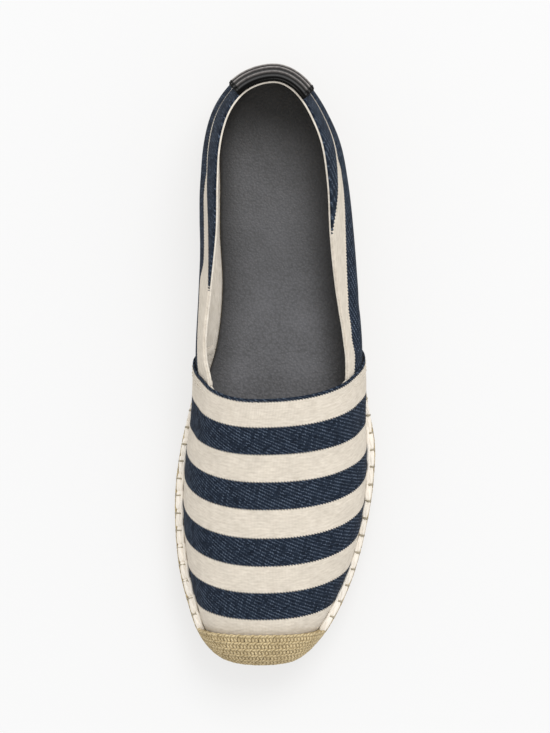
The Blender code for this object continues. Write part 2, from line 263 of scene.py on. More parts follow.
# Ridge of the foot: its x, and how far a cross line of the cloth bows towards the heel
RIDGE_COLUMNS = ("t", "x", "bow")
RIDGE_ROWS = (
    (UPPER_START, -6.0, 0.0),
    (9.0, -6.0, 3.0),
    (20.0, -6.0, 8.8),
    (43.0, -5.5, 16.5),
    (67.0, -5.0, 17.6),
    (90.0, -6.0, 17.0),
    (114.0, -8.0, THROAT_BOW),
    (174.0, -8.0, THROAT_BOW),
    (205.0, -6.0, THROAT_BOW),
    (230.0, -3.0, THROAT_BOW),
    (UPPER_END, -0.6, THROAT_BOW),
)

# Soft creases and slack of the cloth: side, then from (t, height above the sole) to
# (t, height), half width, depth. Less than 0 is a trough
CREASES = (
    ("medial", (122.0, 26.0), (98.0, 16.0), 5.0, -0.6),
    ("lateral", (125.0, 22.0), (101.0, 15.0), 5.0, -0.5),
    ("medial", (88.0, 24.0), (80.0, 30.0), 6.0, -0.3),
    ("lateral", (92.0, 30.0), (84.0, 22.0), 6.0, -0.3),
    ("lateral", (150.0, 24.0), (154.0, 12.0), 4.0, -0.35),
    ("lateral", (140.0, 13.0), (250.0, 12.0), 8.0, 0.5),
    ("lateral", (140.0, 21.0), (207.0, 22.3), 6.0, -1.6),
    ("lateral", (217.0, 22.5), (244.0, 22.5), 5.5, -2.3),
    ("medial", (130.0, 23.0), (164.0, 24.0), 7.0, 0.7),
    ("medial", (190.0, 12.0), (250.0, 12.0), 8.0, 0.4),
    ("medial", (172.0, 23.0), (201.0, 23.5), 6.0, -1.4),
    ("medial", (211.0, 22.5), (244.0, 22.5), 6.5, -2.2),
)

# Settings that many nodes share
TIMES_PLUS = {"operation": "MULTIPLY_ADD"}
DOT = {"operation": "DOT_PRODUCT"}
SMOOTH = {"interpolation_type": "SMOOTHSTEP"}
DARKENED = {"data_type": "RGBA", "blend_type": "MULTIPLY"}


# The shoe's shape


def smoothstep(share):
    share = np.clip(share, 0.0, 1.0)
    return share * share * (3 - 2 * share)


def angle_at(t, start=UPPER_START, end=UPPER_END):
    """The angle p of the place t on a piece that runs from start to end."""
    return np.arccos(1 - 2 * np.clip((t - start) / (end - start), 0.0, 1.0))


def station(p, start=UPPER_START, end=UPPER_END):
    """The place t at the angle p."""
    return start + (end - start) * (1 - np.cos(p)) / 2


def smooth_columns(columns, rows, start, end):
    """One smooth function of p through each column of a table."""
    table = dict(zip(columns, np.array(rows).T))
    knots = angle_at(table["t"], start, end)

    def through(values):
        slopes = np.gradient(values, knots)

        def read(p):
            i = np.clip(np.searchsorted(knots, p) - 1, 0, len(knots) - 2)
            step = knots[i + 1] - knots[i]
            s = (p - knots[i]) / step
            from_left = values[i] * (1 + 2 * s) * (1 - s) ** 2
            from_left = from_left + slopes[i] * step * s * (1 - s) ** 2
            from_right = values[i + 1] * s * s * (3 - 2 * s)
            from_right = from_right + slopes[i + 1] * step * s * s * (s - 1)
            return from_left + from_right

        return read

    return {name: through(table[name]) for name in columns[1:]}


SOLE = smooth_columns(SOLE_COLUMNS, SOLE_ROWS, 0.0, SOLE_LENGTH)
UPPER = smooth_columns(UPPER_COLUMNS, UPPER_ROWS, UPPER_START, UPPER_END)
RIDGE = smooth_columns(RIDGE_COLUMNS, RIDGE_ROWS, UPPER_START, UPPER_END)


def toe_lift(t):
    return TOE_SPRING * np.maximum(0.0, 1 - t / TOE_SPRING_FROM) ** 2


def floor_side(t):
    """Height of the sole's underside: flat under ball and heel, lifted at toe and waist."""
    waist = np.clip((t - ARCH_FROM) / (ARCH_TO - ARCH_FROM), 0.0, 1.0)
    return toe_lift(t) + ARCH_LIFT * np.sin(math.pi * waist) ** 2


def sole_top(t):
    heel = smoothstep((t - HEEL_RISE_FROM) / (HEEL_RISE_TO - HEEL_RISE_FROM))
    return toe_lift(t) + FOREFOOT_TOP + (HEEL_TOP - FOREFOOT_TOP) * heel


def rope_height(t, share):
    """A height in the rope sole: share 0 at its underside, 1 at its top."""
    low = floor_side(t) + RUBBER_THICKNESS + CLEARANCE
    return low + (sole_top(t) - low) * share


def upper_foot(t):
    """Height of the upper's lower edge."""
    return sole_top(t) + CLEARANCE


def unit(vectors):
    return vectors / np.maximum(np.linalg.norm(vectors, axis=-1, keepdims=True), 1e-9)


def by_side(a, name, p):
    """A column of the upper's table, read on the side of the foot that a lies on."""
    return np.where(a < 0, UPPER["medial" + name](p), UPPER["lateral" + name](p))


def skin(p, a):
    """Outer face of the upper as (x, t, z)."""
    p, a = np.broadcast_arrays(np.asarray(p, float), np.asarray(a, float))
    t = station(p)
    rise = np.maximum(by_side(a, " rise", p), 1e-6)
    up = rise * np.maximum(np.cos(a), 0.0) ** ROUNDNESS
    edge = np.stack([by_side(a, "", p), t], -1)
    behind = np.maximum(0.0, t - FAN_FROM)
    spine = np.stack([RIDGE["x"](p), t - behind**2 / (2 * (UPPER_END - FAN_FROM))], -1)
    reach = spine - edge
    length = np.maximum(np.linalg.norm(reach, axis=-1), 1e-6)
    tuck = by_side(a, " tuck", p) * np.maximum(0.0, 1 - up / np.minimum(BULGE, rise / 2)) ** 2
    share = 1 - np.abs(np.sin(a)) ** ROUNDNESS + tuck / length
    flat = edge + reach * share[..., None]
    return np.concatenate([flat, (upper_foot(t) + up)[..., None]], -1)


def skin_normal(p, a):
    """Unit direction out of the upper's outer face."""
    step = 0.002
    p, a = np.broadcast_arrays(np.asarray(p, float), np.asarray(a, float))
    p = np.maximum(p, 2 * step)
    a = np.clip(a, -HALF_TURN + 0.05, HALF_TURN - 0.05)
    over = skin(p, a + step) - skin(p, a - step)
    along = skin(np.minimum(p + step, math.pi), a) - skin(p - step, a)
    back = np.stack([np.where(a < 0, 1.0, -1.0), 0 * a, 0 * a], -1)
    along = np.where((math.pi - p < 1e-6)[..., None], back, along)
    return unit(np.cross(over, along))


def foot_outward(p, a):
    """Level unit direction away from the foot, where the upper meets the sole."""
    edge = np.where(a < 0, -HALF_TURN, HALF_TURN)
    step = 0.001
    along = skin(np.minimum(p + step, math.pi), edge) - skin(np.maximum(p - step, 0.0), edge)
    across = unit(np.stack([-along[..., 1], along[..., 0]], -1))
    across = np.where((a < 0)[..., None], across, -across)
    tip = np.stack([0 * p, np.where(p < 1, -1.0, 1.0)], -1)
    at_tip = np.minimum(p, math.pi - p) < 1e-6
    return np.where(at_tip[..., None], tip, across)


def offset_skin(p, a, out):
    """Points at a distance outside the upper's outer face. At the sole they stay level."""
    p, a, out = np.broadcast_arrays(*(np.asarray(v, float) for v in (p, a, out)))
    raised = skin(p, a) + skin_normal(p, a) * out[..., None]
    flat = skin(p, a)[..., :2] + foot_outward(p, a) * out[..., None]
    level = np.concatenate([flat, upper_foot(flat[..., 1:])], -1)
    at_sole = (np.abs(a) > HALF_TURN - 1e-6) | (p < 1e-6)
    return np.where(at_sole[..., None], level, raised)


def bowed(t, a):
    """Where a cross line of the cloth that crosses the ridge at t lies at the angle a."""
    return angle_at(t + RIDGE["bow"](angle_at(t)) * (a / HALF_TURN) ** 2)


def angle_over(side, p, height):
    """The angle a at which the wall has a height above the sole."""
    share = np.clip(height / UPPER[side + " rise"](p), 0.0, 1.0)
    return SIDES[side] * np.arccos(share ** (1 / ROUNDNESS))


def wall_height(p, a):
    return by_side(a, " rise", p) * np.maximum(np.cos(a), 0.0) ** ROUNDNESS


def throat_corner(side):
    """The size of the angle a where the vamp's back edge crosses the collar."""
    a = SIDES[side] * np.linspace(0.3, HALF_TURN, 4000)
    p = bowed(THROAT, a)
    above = wall_height(p, a) - UPPER[side + " collar"](p)
    return abs(a[np.argmax(above < 0)])


def lap(p, a):
    """How far the vamp stands proud: full over the seam, fading towards the toe."""
    forward = station(bowed(THROAT, a)) - station(p)
    return LAP * (1 - smoothstep((forward - LAP_WIDTH) / LAP_FADE))


def crease(p, a):
    """How far the soft creases move the cloth out."""
    points = skin(p, a)
    moved = np.zeros(points.shape[:-1])
    for side, start, end, width, depth in CREASES:
        ends = [(angle_at(t), height) for t, height in (start, end)]
        low, high = (skin(q, angle_over(side, q, height)) for q, height in ends)
        along = high - low
        share = np.clip((points - low) @ along / (along @ along), 0.0, 1.0)
        gap = np.linalg.norm(points - low - share[..., None] * along, axis=-1)
        moved += depth * np.exp(-((gap / width) ** 2))
    at_sole = np.clip(wall_height(p, a) / 5.0, 0.0, 1.0)
    return moved * at_sole


def rounded(distance, half):
    """Half the thickness of cloth or leather at a distance from its folded edge."""
    share = np.clip(distance / half, 0.0, 1.0)
    return half * np.sqrt(1 - (1 - share) ** 2)


def folded(distance, thickness):
    """How far a face draws in from full thickness at a distance from a folded edge."""
    return thickness / 2 - rounded(distance, thickness / 2)


def towards_fold(start, end, count, fold):
    """Values from start to end, closer together over the last bit, where an edge folds."""
    turn = end - fold + fold * np.sin(np.linspace(0.0, HALF_TURN, 5))[1:]
    return np.concatenate([np.linspace(start, end - fold, count), turn])


def arc_length(points, axis):
    """Running length along rows (axis 0) or columns (axis 1) of a grid of points."""
    steps = np.linalg.norm(np.diff(points, axis=axis), axis=-1)
    first = np.zeros_like(np.take(steps, [0], axis))
    return np.cumsum(np.concatenate([first, steps], axis), axis)


# Lines round the sole


def sole_line(distance, height):
    """The rope sole's outline moved in by a distance, at a height that t gives."""

    def line(p, a):
        medial, lateral = SOLE["medial"], SOLE["lateral"]
        x = np.where(a < 0, medial(p), lateral(p))
        t = station(p, 0.0, SOLE_LENGTH)
        step = 0.001
        low, high = np.maximum(p - step, 0.0), np.minimum(p + step, math.pi)
        run = np.where(a < 0, medial(high) - medial(low), lateral(high) - lateral(low))
        length = station(high, 0.0, SOLE_LENGTH) - station(low, 0.0, SOLE_LENGTH)
        inward = unit(np.stack([length, -run], -1)) * np.where(a < 0, 1.0, -1.0)[..., None]
        tip = np.stack([0 * p, np.where(p < 1, 1.0, -1.0)], -1)
        inward = np.where((np.minimum(p, math.pi - p) < 1e-6)[..., None], tip, inward)
        x, t = x + inward[..., 0] * distance, t + inward[..., 1] * distance
        return np.stack([x, t, height(t)], -1)

    return line


def around_sole(line):
    """A line all round the shoe, from the heel along the inner side to the toe and back
    along the outer side. line(p, a) gives its points."""
    p = np.concatenate([np.linspace(math.pi, 0.0, 181), np.linspace(0.0, math.pi, 181)[1:]])
    a = np.concatenate([np.full(181, -HALF_TURN), np.full(180, HALF_TURN)])
    return line(p, a)


def both_sides(p, distance, height):
    """The outline's inner and outer side, each from toe to heel."""
    line = sole_line(distance, height)
    return [line(p, np.full_like(p, sign)) for sign in SIDES.values()]


def sole_ring(p, distance, height):
    """The outline as one ring, along the inner side to the heel and back on the outer."""
    inner, outer = both_sides(p, distance, height)
    return np.concatenate([inner, outer[::-1]])


def lid(ring):
    """The points of a ring in pairs across it, to close it."""
    half = len(ring) // 2
    return np.stack([ring[:half], ring[: half - 1 : -1]], 1)


# Building meshes


def place(points):
    """Metres in the shoe's frame from (x, t, z) in millimetres."""
    return (np.asarray(points) - (0.0, LENGTH / 2, 0.0)) * MM


def new_piece(name, points, faces, material, cloth=None):
    """A closed mesh with its seams merged. cloth gives each point its place in mm."""
    seam = 0.002 * MM
    mesh = bpy.data.meshes.new(name)
    mesh.from_pydata(place(points).tolist(), [], faces.tolist())
    if cloth is not None:
        corners = np.empty(len(mesh.loops), np.int32)
        mesh.loops.foreach_get("vertex_index", corners)
        layer = mesh.uv_layers.new(name="cloth")
        layer.data.foreach_set("uv", np.asarray(cloth, np.float32)[corners].ravel())
    bm = bmesh.new()
    bm.from_mesh(mesh)
    bmesh.ops.remove_doubles(bm, verts=bm.verts, dist=seam)
    bmesh.ops.dissolve_degenerate(bm, edges=bm.edges, dist=seam)
    # Where two pieces of cloth meet, their ends have merged into one wall inside
    hidden = [face for face in bm.faces if sum(len(edge.link_faces) > 2 for edge in face.edges) > 1]
    bmesh.ops.delete(bm, geom=hidden, context="FACES")
    bmesh.ops.recalc_face_normals(bm, faces=bm.faces)
    if bm.calc_volume(signed=True) < 0:
        bmesh.ops.reverse_faces(bm, faces=bm.faces)
    bm.to_mesh(mesh)
    bm.free()
    mesh.shade_smooth()
    mesh.set_sharp_from_angle(angle=math.radians(50))
    mesh.materials.append(material)
    piece = bpy.data.objects.new(name, mesh)
    bpy.context.collection.objects.link(piece)
    return piece


def grid_faces(rows, columns, first=0):
    index = first + np.arange(rows * columns).reshape(rows, columns)
    corners = (index[:-1, :-1], index[:-1, 1:], index[1:, 1:], index[1:, :-1])
    return np.stack(corners, -1).reshape(-1, 4)


def from_grids(name, material, *grids):
    """A piece that grids of points close between them."""
    faces = []
    first = 0
    for grid in grids:
        faces.append(grid_faces(*grid.shape[:2], first))
        first += grid.size // 3
    points = np.concatenate([grid.reshape(-1, 3) for grid in grids])
    return new_piece(name, points, np.concatenate(faces), material)


def shell_faces(rows, columns, first=0):
    """Faces of a closed shell: an outer grid, an inner grid and the strip round both."""
    count = rows * columns
    index = first + np.arange(count).reshape(rows, columns)
    sides = (index[0, :-1], index[:-1, -1], index[-1, :0:-1], index[:0:-1, 0])
    edge = np.concatenate(sides)
    after = np.roll(edge, -1)
    strip = np.stack([edge, after, after + count, edge + count], -1)
    inner = grid_faces(rows, columns, first + count)[:, ::-1]
    return np.concatenate([grid_faces(rows, columns, first), inner, strip])


def from_shells(name, material, *shells):
    """A piece of closed shells. Each has its outer points, its inner points and, where
    the piece is cloth, (u, v) on the cloth."""
    points, cloth, faces = [], [], []
    first = 0
    for outer, inner, *flat in shells:
        points += [outer.reshape(-1, 3), inner.reshape(-1, 3)]
        cloth += [layer.reshape(-1, 2) for layer in flat * 2]
        faces.append(shell_faces(*outer.shape[:2], first))
        first += 2 * outer.size // 3
    cloth = np.concatenate(cloth) if cloth else None
    return new_piece(name, np.concatenate(points), np.concatenate(faces), material, cloth)


def on_last(p, a, outer, inner, flat):
    """A shell of cloth on the last, from the offsets of its outer and inner face."""
    return offset_skin(p, a, outer), offset_skin(p, a, inner), flat


def dress(piece, slot, *nodes):
    """Puts a finished piece on the model's one body."""
    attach(piece, "root")
    if nodes:
        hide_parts(*nodes)
    return piece


# Nodes


def linear(colour):
    """Linear RGBA from an sRGB hex colour."""
    parts = [int(colour[i : i + 2], 16) / 255 for i in (1, 3, 5)]
    parts = [c / 12.92 if c <= 0.04045 else ((c + 0.055) / 1.055) ** 2.4 for c in parts]
    return (*parts, 1.0)


def connect(tree, node, inputs):
    """Gives each input a value, or a link from a socket or from a node's first output."""
    for socket, source in inputs.items():
        if isinstance(source, bpy.types.Node):
            source = next(output for output in source.outputs if output.enabled)
        if isinstance(source, bpy.types.NodeSocket):
            tree.links.new(source, node.inputs[socket])
        else:
            node.inputs[socket].default_value = source


def add_node(tree, kind, inputs=None, **settings):
    """Adds a node with its settings and what goes into it."""
    node = tree.nodes.new(kind)
    for setting, value in settings.items():
        setattr(node, setting, value)
    connect(tree, node, inputs or {})
    return node


def new_material(name, roughness, **constants):
    """A material, its tree and its shader, with what is the same all over set on it."""
    material = bpy.data.materials.new(name)
    material.use_nodes = True
    shader = material.node_tree.nodes["Principled BSDF"]
    shader.inputs["Roughness"].default_value = roughness
    for socket, value in constants.items():
        shader.inputs[socket.replace("_", " ")].default_value = value
    return material, material.node_tree, shader


def striped_canvas(name, dark, light, striped=True):
    """Cotton canvas, yarn-dyed and woven, so it has no gloss and its threads show. Its
    natural stripes are a close plain weave with soft slubs. Its navy stripes are a steep
    twill, whose pale weft shows as flecks between the wales."""
    material, tree, shader = new_material(name, 0.9, Sheen_Weight=0.02, Specular_IOR_Level=0.05)
    add = partial(add_node, tree)
    uv = add("ShaderNodeUVMap", uv_map="cloth")
    split = add("ShaderNodeSeparateXYZ", {0: uv})
    u, v = split.outputs[0], split.outputs[1]

    # Slubs are long in the weft, and the cloth's shade drifts over about 8 mm
    stretched = add("ShaderNodeVectorMath", {0: uv, 1: (0.35, 1.3, 1.0)}, operation="MULTIPLY")
    slub = add("ShaderNodeTexNoise", {0: stretched, "Scale": 0.9, "Detail": 4.0})
    cloud = add("ShaderNodeTexNoise", {0: uv, "Scale": 0.12, "Detail": 2.0})

    # Plain weave: threads over and under in both directions
    waves = []
    for across in (u, v):
        wave = add("ShaderNodeMath", {0: across, 1: math.pi / THREAD}, operation="MULTIPLY")
        waves.append(add("ShaderNodeMath", {0: wave}, operation="SINE"))
    plain = add("ShaderNodeMath", {0: waves[0], 1: waves[1]}, operation="MULTIPLY")
    plain = add("ShaderNodeMath", {0: plain}, operation="ABSOLUTE")
    cream = add("ShaderNodeValToRGB", {0: slub})
    for stop, position, tone in zip(cream.color_ramp.elements, (0.3, 0.72), (dark, light)):
        stop.position = position
        stop.color = linear(tone)
    # Painted shade in the hollows where the threads pass under each other
    pores = add("ShaderNodeMapRange", {0: plain, 1: 0.0, 2: 0.5, 3: 0.86, 4: 1.0})
    cream = add("ShaderNodeMix", {0: 1.0, 6: cream, 7: pores}, **DARKENED)
    colour, height = cream, plain
    if striped:
        # Wales run down towards the outer side
        steep, level = math.cos(TWILL_SLOPE), math.sin(TWILL_SLOPE)
        across = add("ShaderNodeVectorMath", {0: uv, 1: (level / WALE, steep / WALE, 0.0)}, **DOT)
        grit = add("ShaderNodeTexNoise", {0: uv, "Scale": 2.1, "Detail": 2.0})
        wander = add("ShaderNodeMath", {0: grit, 1: 0.22, 2: across.outputs["Value"]}, **TIMES_PLUS)
        groove = add("ShaderNodeMath", {0: wander}, operation="FRACT")
        ridge = add("ShaderNodeMath", {0: groove, 1: math.pi}, operation="MULTIPLY")
        ridge = add("ShaderNodeMath", {0: ridge}, operation="SINE")
        number = add("ShaderNodeMath", {0: wander}, operation="FLOOR")

        # Flecks lie in rows along the grooves, some faint and some bright
        along = add("ShaderNodeVectorMath", {0: uv, 1: (steep / FLECK, -level / FLECK, 0.0)}, **DOT)
        along = add("ShaderNodeMath", {0: number, 1: 0.37, 2: along.outputs["Value"]}, **TIMES_PLUS)
        dash = add("ShaderNodeMath", {0: along}, operation="FRACT")
        cell = add("ShaderNodeMath", {0: along}, operation="FLOOR")
        cell = add("ShaderNodeCombineXYZ", {0: cell, 1: number})
        chance = add("ShaderNodeTexWhiteNoise", {0: cell}, noise_dimensions="2D")
        dash = add("ShaderNodeMapRange", {0: dash, 1: 0.62, 2: 0.7, 3: 1.0, 4: 0.0}, **SMOOTH)
        sunk = add("ShaderNodeMapRange", {0: ridge, 1: 0.35, 2: 0.75, 3: 1.0, 4: 0.0}, **SMOOTH)
        fleck = add("ShaderNodeMath", {0: dash, 1: sunk}, operation="MULTIPLY")
        fleck = add("ShaderNodeMath", {0: fleck, 1: chance.outputs["Value"]}, operation="MULTIPLY")
        navy = add("ShaderNodeValToRGB", {0: slub})
        for stop, position, tone in zip(navy.color_ramp.elements, (0.32, 0.7), NAVY):
            stop.position = position
            stop.color = linear(tone)
        # Painted shade in the grooves between the wales, and painted light on their crests
        shade = add("ShaderNodeMapRange", {0: ridge, 1: 0.0, 2: 0.8, 3: 0.62, 4: 1.08})
        navy = add("ShaderNodeMix", {0: 1.0, 6: navy, 7: shade}, **DARKENED)
        navy = add("ShaderNodeMix", {0: fleck, 6: navy, 7: linear("#5C6879")}, data_type="RGBA")

        # The stripe's edge steps from thread to thread
        tooth = add("ShaderNodeMath", {0: u, 1: 1 / TOOTH}, operation="MULTIPLY")
        tooth = add("ShaderNodeMath", {0: tooth}, operation="FRACT")
        edge = add("ShaderNodeMath", {0: tooth, 1: 0.7, 2: v}, **TIMES_PLUS)
        edge = add("ShaderNodeMath", {0: edge, 1: 1 / (2 * STRIPE)}, operation="MULTIPLY")
        edge = add("ShaderNodeMath", {0: edge}, operation="FRACT")
        band = add("ShaderNodeMath", {0: edge, 1: 0.5}, operation="LESS_THAN")
        colour = add("ShaderNodeMix", {0: band, 6: cream, 7: navy}, data_type="RGBA")
        height = add("ShaderNodeMix", {0: band, 2: plain, 3: ridge}, data_type="FLOAT")

    tint = add("ShaderNodeMapRange", {0: cloud, 1: 0.3, 2: 0.7, 3: 0.94, 4: 1.04})
    colour = add("ShaderNodeMix", {0: 1.0, 6: colour, 7: tint}, **DARKENED)
    height = add("ShaderNodeMath", {0: slub, 1: 0.7, 2: height}, **TIMES_PLUS)
    bump = add("ShaderNodeBump", {"Height": height, "Strength": 0.6, "Distance": 0.16 * MM})
    connect(tree, shader, {"Base Color": colour, "Normal": bump})
    return material


def twisted_yarn(name, light, dark, plies, lay, fibre=0.5, groove=0.75, sheen=0.1):
    """Yarn spun from fibres and twisted from plies, so it is dull. Each ply shows as a
    ridge that turns round the strand once in a lay, in mm, with painted shade between
    plies, and loose fibres run with it. fibre and groove say how much of the change in
    colour is theirs: the fibres' streaks, and the painted shade in the grooves."""
    material, tree, shader = new_material(name, 0.9, Sheen_Weight=sheen)
    add = partial(add_node, tree)
    along = add("ShaderNodeAttribute", attribute_name="along").outputs["Fac"]
    around = add("ShaderNodeAttribute", attribute_name="around").outputs["Vector"]
    tone = add("ShaderNodeAttribute", attribute_name="tone").outputs["Fac"]
    split = add("ShaderNodeSeparateXYZ", {0: around})
    turn = add("ShaderNodeMath", {0: split.outputs[1], 1: split.outputs[0]}, operation="ARCTAN2")
    turn = add("ShaderNodeMath", {0: turn, 1: plies / 2}, operation="MULTIPLY")
    phase = add("ShaderNodeMath", {0: along, 1: math.pi * plies / lay, 2: turn}, **TIMES_PLUS)
    ply = add("ShaderNodeMath", {0: phase}, operation="SINE")
    ply = add("ShaderNodeMath", {0: ply}, operation="ABSOLUTE")
    ply = add("ShaderNodeMath", {0: ply, 1: 0.6}, operation="POWER")

    # Fibres follow the twist: long in it and thin across it, though much thicker than
    # real ones, which are too fine to show. The cloud's scale is per metre
    place_on = add("ShaderNodeTexCoord").outputs["Object"]
    cloud = add("ShaderNodeTexNoise", {0: place_on, "Scale": 95.0, "Detail": 2.0})
    lengthwise = add("ShaderNodeCombineXYZ", {0: phase, 1: along, 2: cloud})
    lengthwise = add("ShaderNodeVectorMath", {0: lengthwise, 1: (2.2, 0.25, 6.0)}, operation="MULTIPLY")
    streak = add("ShaderNodeTexNoise", {0: lengthwise, "Scale": 1.3, "Detail": 3.0})
    level = add("ShaderNodeMapRange", {0: streak, 1: 0.3, 2: 0.7, 3: -fibre, 4: fibre})
    # Painted shade: the colour darkens in the grooves between plies, as much as groove says
    level = add("ShaderNodeMath", {0: ply, 1: groove, 2: level}, **TIMES_PLUS)
    patch = add("ShaderNodeMapRange", {0: cloud, 1: 0.3, 2: 0.7, 3: -0.16, 4: 0.16})
    level = add("ShaderNodeMath", {0: level, 1: patch}, operation="ADD")
    level = add("ShaderNodeMath", {0: level, 1: tone}, operation="ADD")
    colour = add("ShaderNodeMix", {0: level, 6: linear(dark), 7: linear(light)}, data_type="RGBA")
    height = add("ShaderNodeMath", {0: streak, 1: 0.5, 2: ply}, **TIMES_PLUS)
    bump = add("ShaderNodeBump", {"Height": height, "Strength": 0.8, "Distance": 0.4 * groove * MM})
    connect(tree, shader, {"Base Color": colour, "Normal": bump})
    return material


def in_millimetres(add):
    """Object coordinates in mm, for patterns whose scale is a real size."""
    place_on = add("ShaderNodeTexCoord").outputs["Object"]
    return add("ShaderNodeVectorMath", {0: place_on, 1: (1 / MM, 1 / MM, 1 / MM)}, operation="MULTIPLY")


def leather(name, light, dark, roughness, grain, depth, painted_light_nodes, **constants):
    """Tanned and dyed leather: rounded grain cells, grain mm wide and depth mm deep, with
    fine pores, and a slow change of shade. The cells are coarser than real grain, which
    is too fine to show. The function given after depth, called as (add, u, v), adds the
    nodes of painted light and shade on the colour, and of matt parts on the roughness."""
    material, tree, shader = new_material(name, roughness, **constants)
    add = partial(add_node, tree)
    in_mm = in_millimetres(add)
    cells = add("ShaderNodeTexVoronoi", {0: in_mm, "Scale": 1 / grain}, feature="SMOOTH_F1")
    pores = add("ShaderNodeTexNoise", {0: in_mm, "Scale": 2.4, "Detail": 3.0})
    cloud = add("ShaderNodeTexNoise", {0: in_mm, "Scale": 0.06, "Detail": 3.0})
    level = add("ShaderNodeMapRange", {0: cells.outputs["Distance"], 1: 0.1, 2: 0.7, 3: 0.75, 4: 0.2})
    shade = add("ShaderNodeMapRange", {0: cloud, 1: 0.3, 2: 0.7, 3: -0.2, 4: 0.2})
    level = add("ShaderNodeMath", {0: level, 1: shade}, operation="ADD")
    colour = add("ShaderNodeMix", {0: level, 6: linear(dark), 7: linear(light)}, data_type="RGBA")
    uv = add("ShaderNodeUVMap", uv_map="cloth")
    split = add("ShaderNodeSeparateXYZ", {0: uv})
    # Painted light and shade multiply the leather's colour, and matt parts add roughness
    painted_light, matt = painted_light_nodes(add, split.outputs[0], split.outputs[1])
    colour = add("ShaderNodeMix", {0: 1.0, 6: colour, 7: painted_light}, **DARKENED)
    height = add("ShaderNodeMath", {0: pores, 1: 0.6, 2: level}, **TIMES_PLUS)
    bump = add("ShaderNodeBump", {"Height": height, "Strength": 0.5, "Distance": depth * MM})
    low, high = roughness - 0.05, roughness + 0.07
    rough = add("ShaderNodeMapRange", {0: pores, 1: 0.3, 2: 0.7, 3: low, 4: high})
    rough = add("ShaderNodeMath", {0: rough, 1: matt}, operation="ADD")
    connect(tree, shader, {"Base Color": colour, "Normal": bump, "Roughness": rough})
    return material


def sock_painted_shade_and_light(add, across, t):
    """Painted shade: darker at the rims, most at the outer one, and in the heel, with painted
    light on the ball of the foot. Each row has a place, the span of it in mm over which the
    shade changes, and the two shades."""
    painted_light = 1.0
    for where, *spans in (
        (across, 0.0, 13.0, 0.42, 1.0),  # inner rim
        (across, 82.0, 98.0, 1.0, 0.22),  # outer rim
        (t, 214.0, 236.0, 1.0, 0.25),  # heel
        (t, 124.0, 180.0, 1.12, 0.7),  # painted light on the ball of the foot, turning to painted shade at the arch
    ):
        shade = add("ShaderNodeMapRange", dict(enumerate((where, *spans))), **SMOOTH)
        painted_light = add("ShaderNodeMath", {0: painted_light, 1: shade}, operation="MULTIPLY")
    return painted_light, add("ShaderNodeMapRange", {0: across, 1: 0.0, 2: 6.0, 3: 0.25, 4: 0.0})


def welt_painted_highlights(add, u, v):
    """Painted highlights: the crests of the welts are painted pale grey, the lowest one most. The cut edge
    is matt.
    """
    step = math.pi * WELTS
    crest = add("ShaderNodeMath", {0: v, 1: step / PATCH_RISE, 2: WELT_SHIFT * step}, **TIMES_PLUS)
    crest = add("ShaderNodeMath", {0: crest}, operation="SINE")
    crest = add("ShaderNodeMath", {0: crest}, operation="ABSOLUTE")
    crest = add("ShaderNodeMath", {0: crest, 1: 14.0}, operation="POWER")
    most = add("ShaderNodeMapRange", {0: v, 1: 3.0, 2: 20.0, 3: 80.0, 4: 40.0})
    outward = add("ShaderNodeMath", {0: u}, operation="ABSOLUTE")
    middle = add("ShaderNodeMapRange", {0: outward, 1: 17.6, 2: 18.8, 3: 1.0, 4: 0.0})
    crest = add("ShaderNodeMath", {0: crest, 1: middle}, operation="MULTIPLY")
    # Painted highlights: the colour is many times brighter on the crests
    painted_light = add("ShaderNodeMath", {0: crest, 1: most, 2: 0.3}, **TIMES_PLUS)
    return painted_light, add("ShaderNodeMapRange", {0: outward, 1: 19.0, 2: 19.6, 3: 0.0, 4: 0.6})


def gum_rubber(name):
    """Vulcanised sheet rubber, pressed in a mould: matt, faintly mottled."""
    material, tree, shader = new_material(name, 0.72)
    add = partial(add_node, tree)
    in_mm = in_millimetres(add)
    cloud = add("ShaderNodeTexNoise", {0: in_mm, "Scale": 0.15, "Detail": 4.0})
    grit = add("ShaderNodeTexNoise", {0: in_mm, "Scale": 3.0, "Detail": 2.0})
    level = add("ShaderNodeMath", {0: cloud, 1: grit}, operation="MULTIPLY")
    level = add("ShaderNodeMapRange", {0: level, 1: 0.1, 2: 0.4})
    colour = add("ShaderNodeMix", {0: level, 6: linear("#8A7048"), 7: linear("#B39A6E")}, data_type="RGBA")
    bump = add("ShaderNodeBump", {"Height": grit, "Strength": 0.4, "Distance": 0.1 * MM})
    connect(tree, shader, {"Base Color": colour, "Normal": bump})
    return material


# Geometry Nodes: strands, plaits and repeated stitches


def new_tree(name, **sizes):
    """A geometry tree, what adds a node to it, and its named inputs."""
    tree = bpy.data.node_groups.new(name, "GeometryNodeTree")
    tree.interface.new_socket("Geometry", in_out="OUTPUT", socket_type="NodeSocketGeometry")
    for size, kind in {"Geometry": "Geometry", **sizes, "Material": "Material"}.items():
        tree.interface.new_socket(size, in_out="INPUT", socket_type="NodeSocket" + kind)
    add = partial(add_node, tree)
    return tree, add, add("NodeGroupInput").outputs


def end_tree(add, strands, material):
    """Copies are made real and get their material last."""
    strands = add("GeometryNodeRealizeInstances", {0: strands})
    strands = add("GeometryNodeSetMaterial", {0: strands, "Material": material})
    add("NodeGroupOutput", {0: strands})


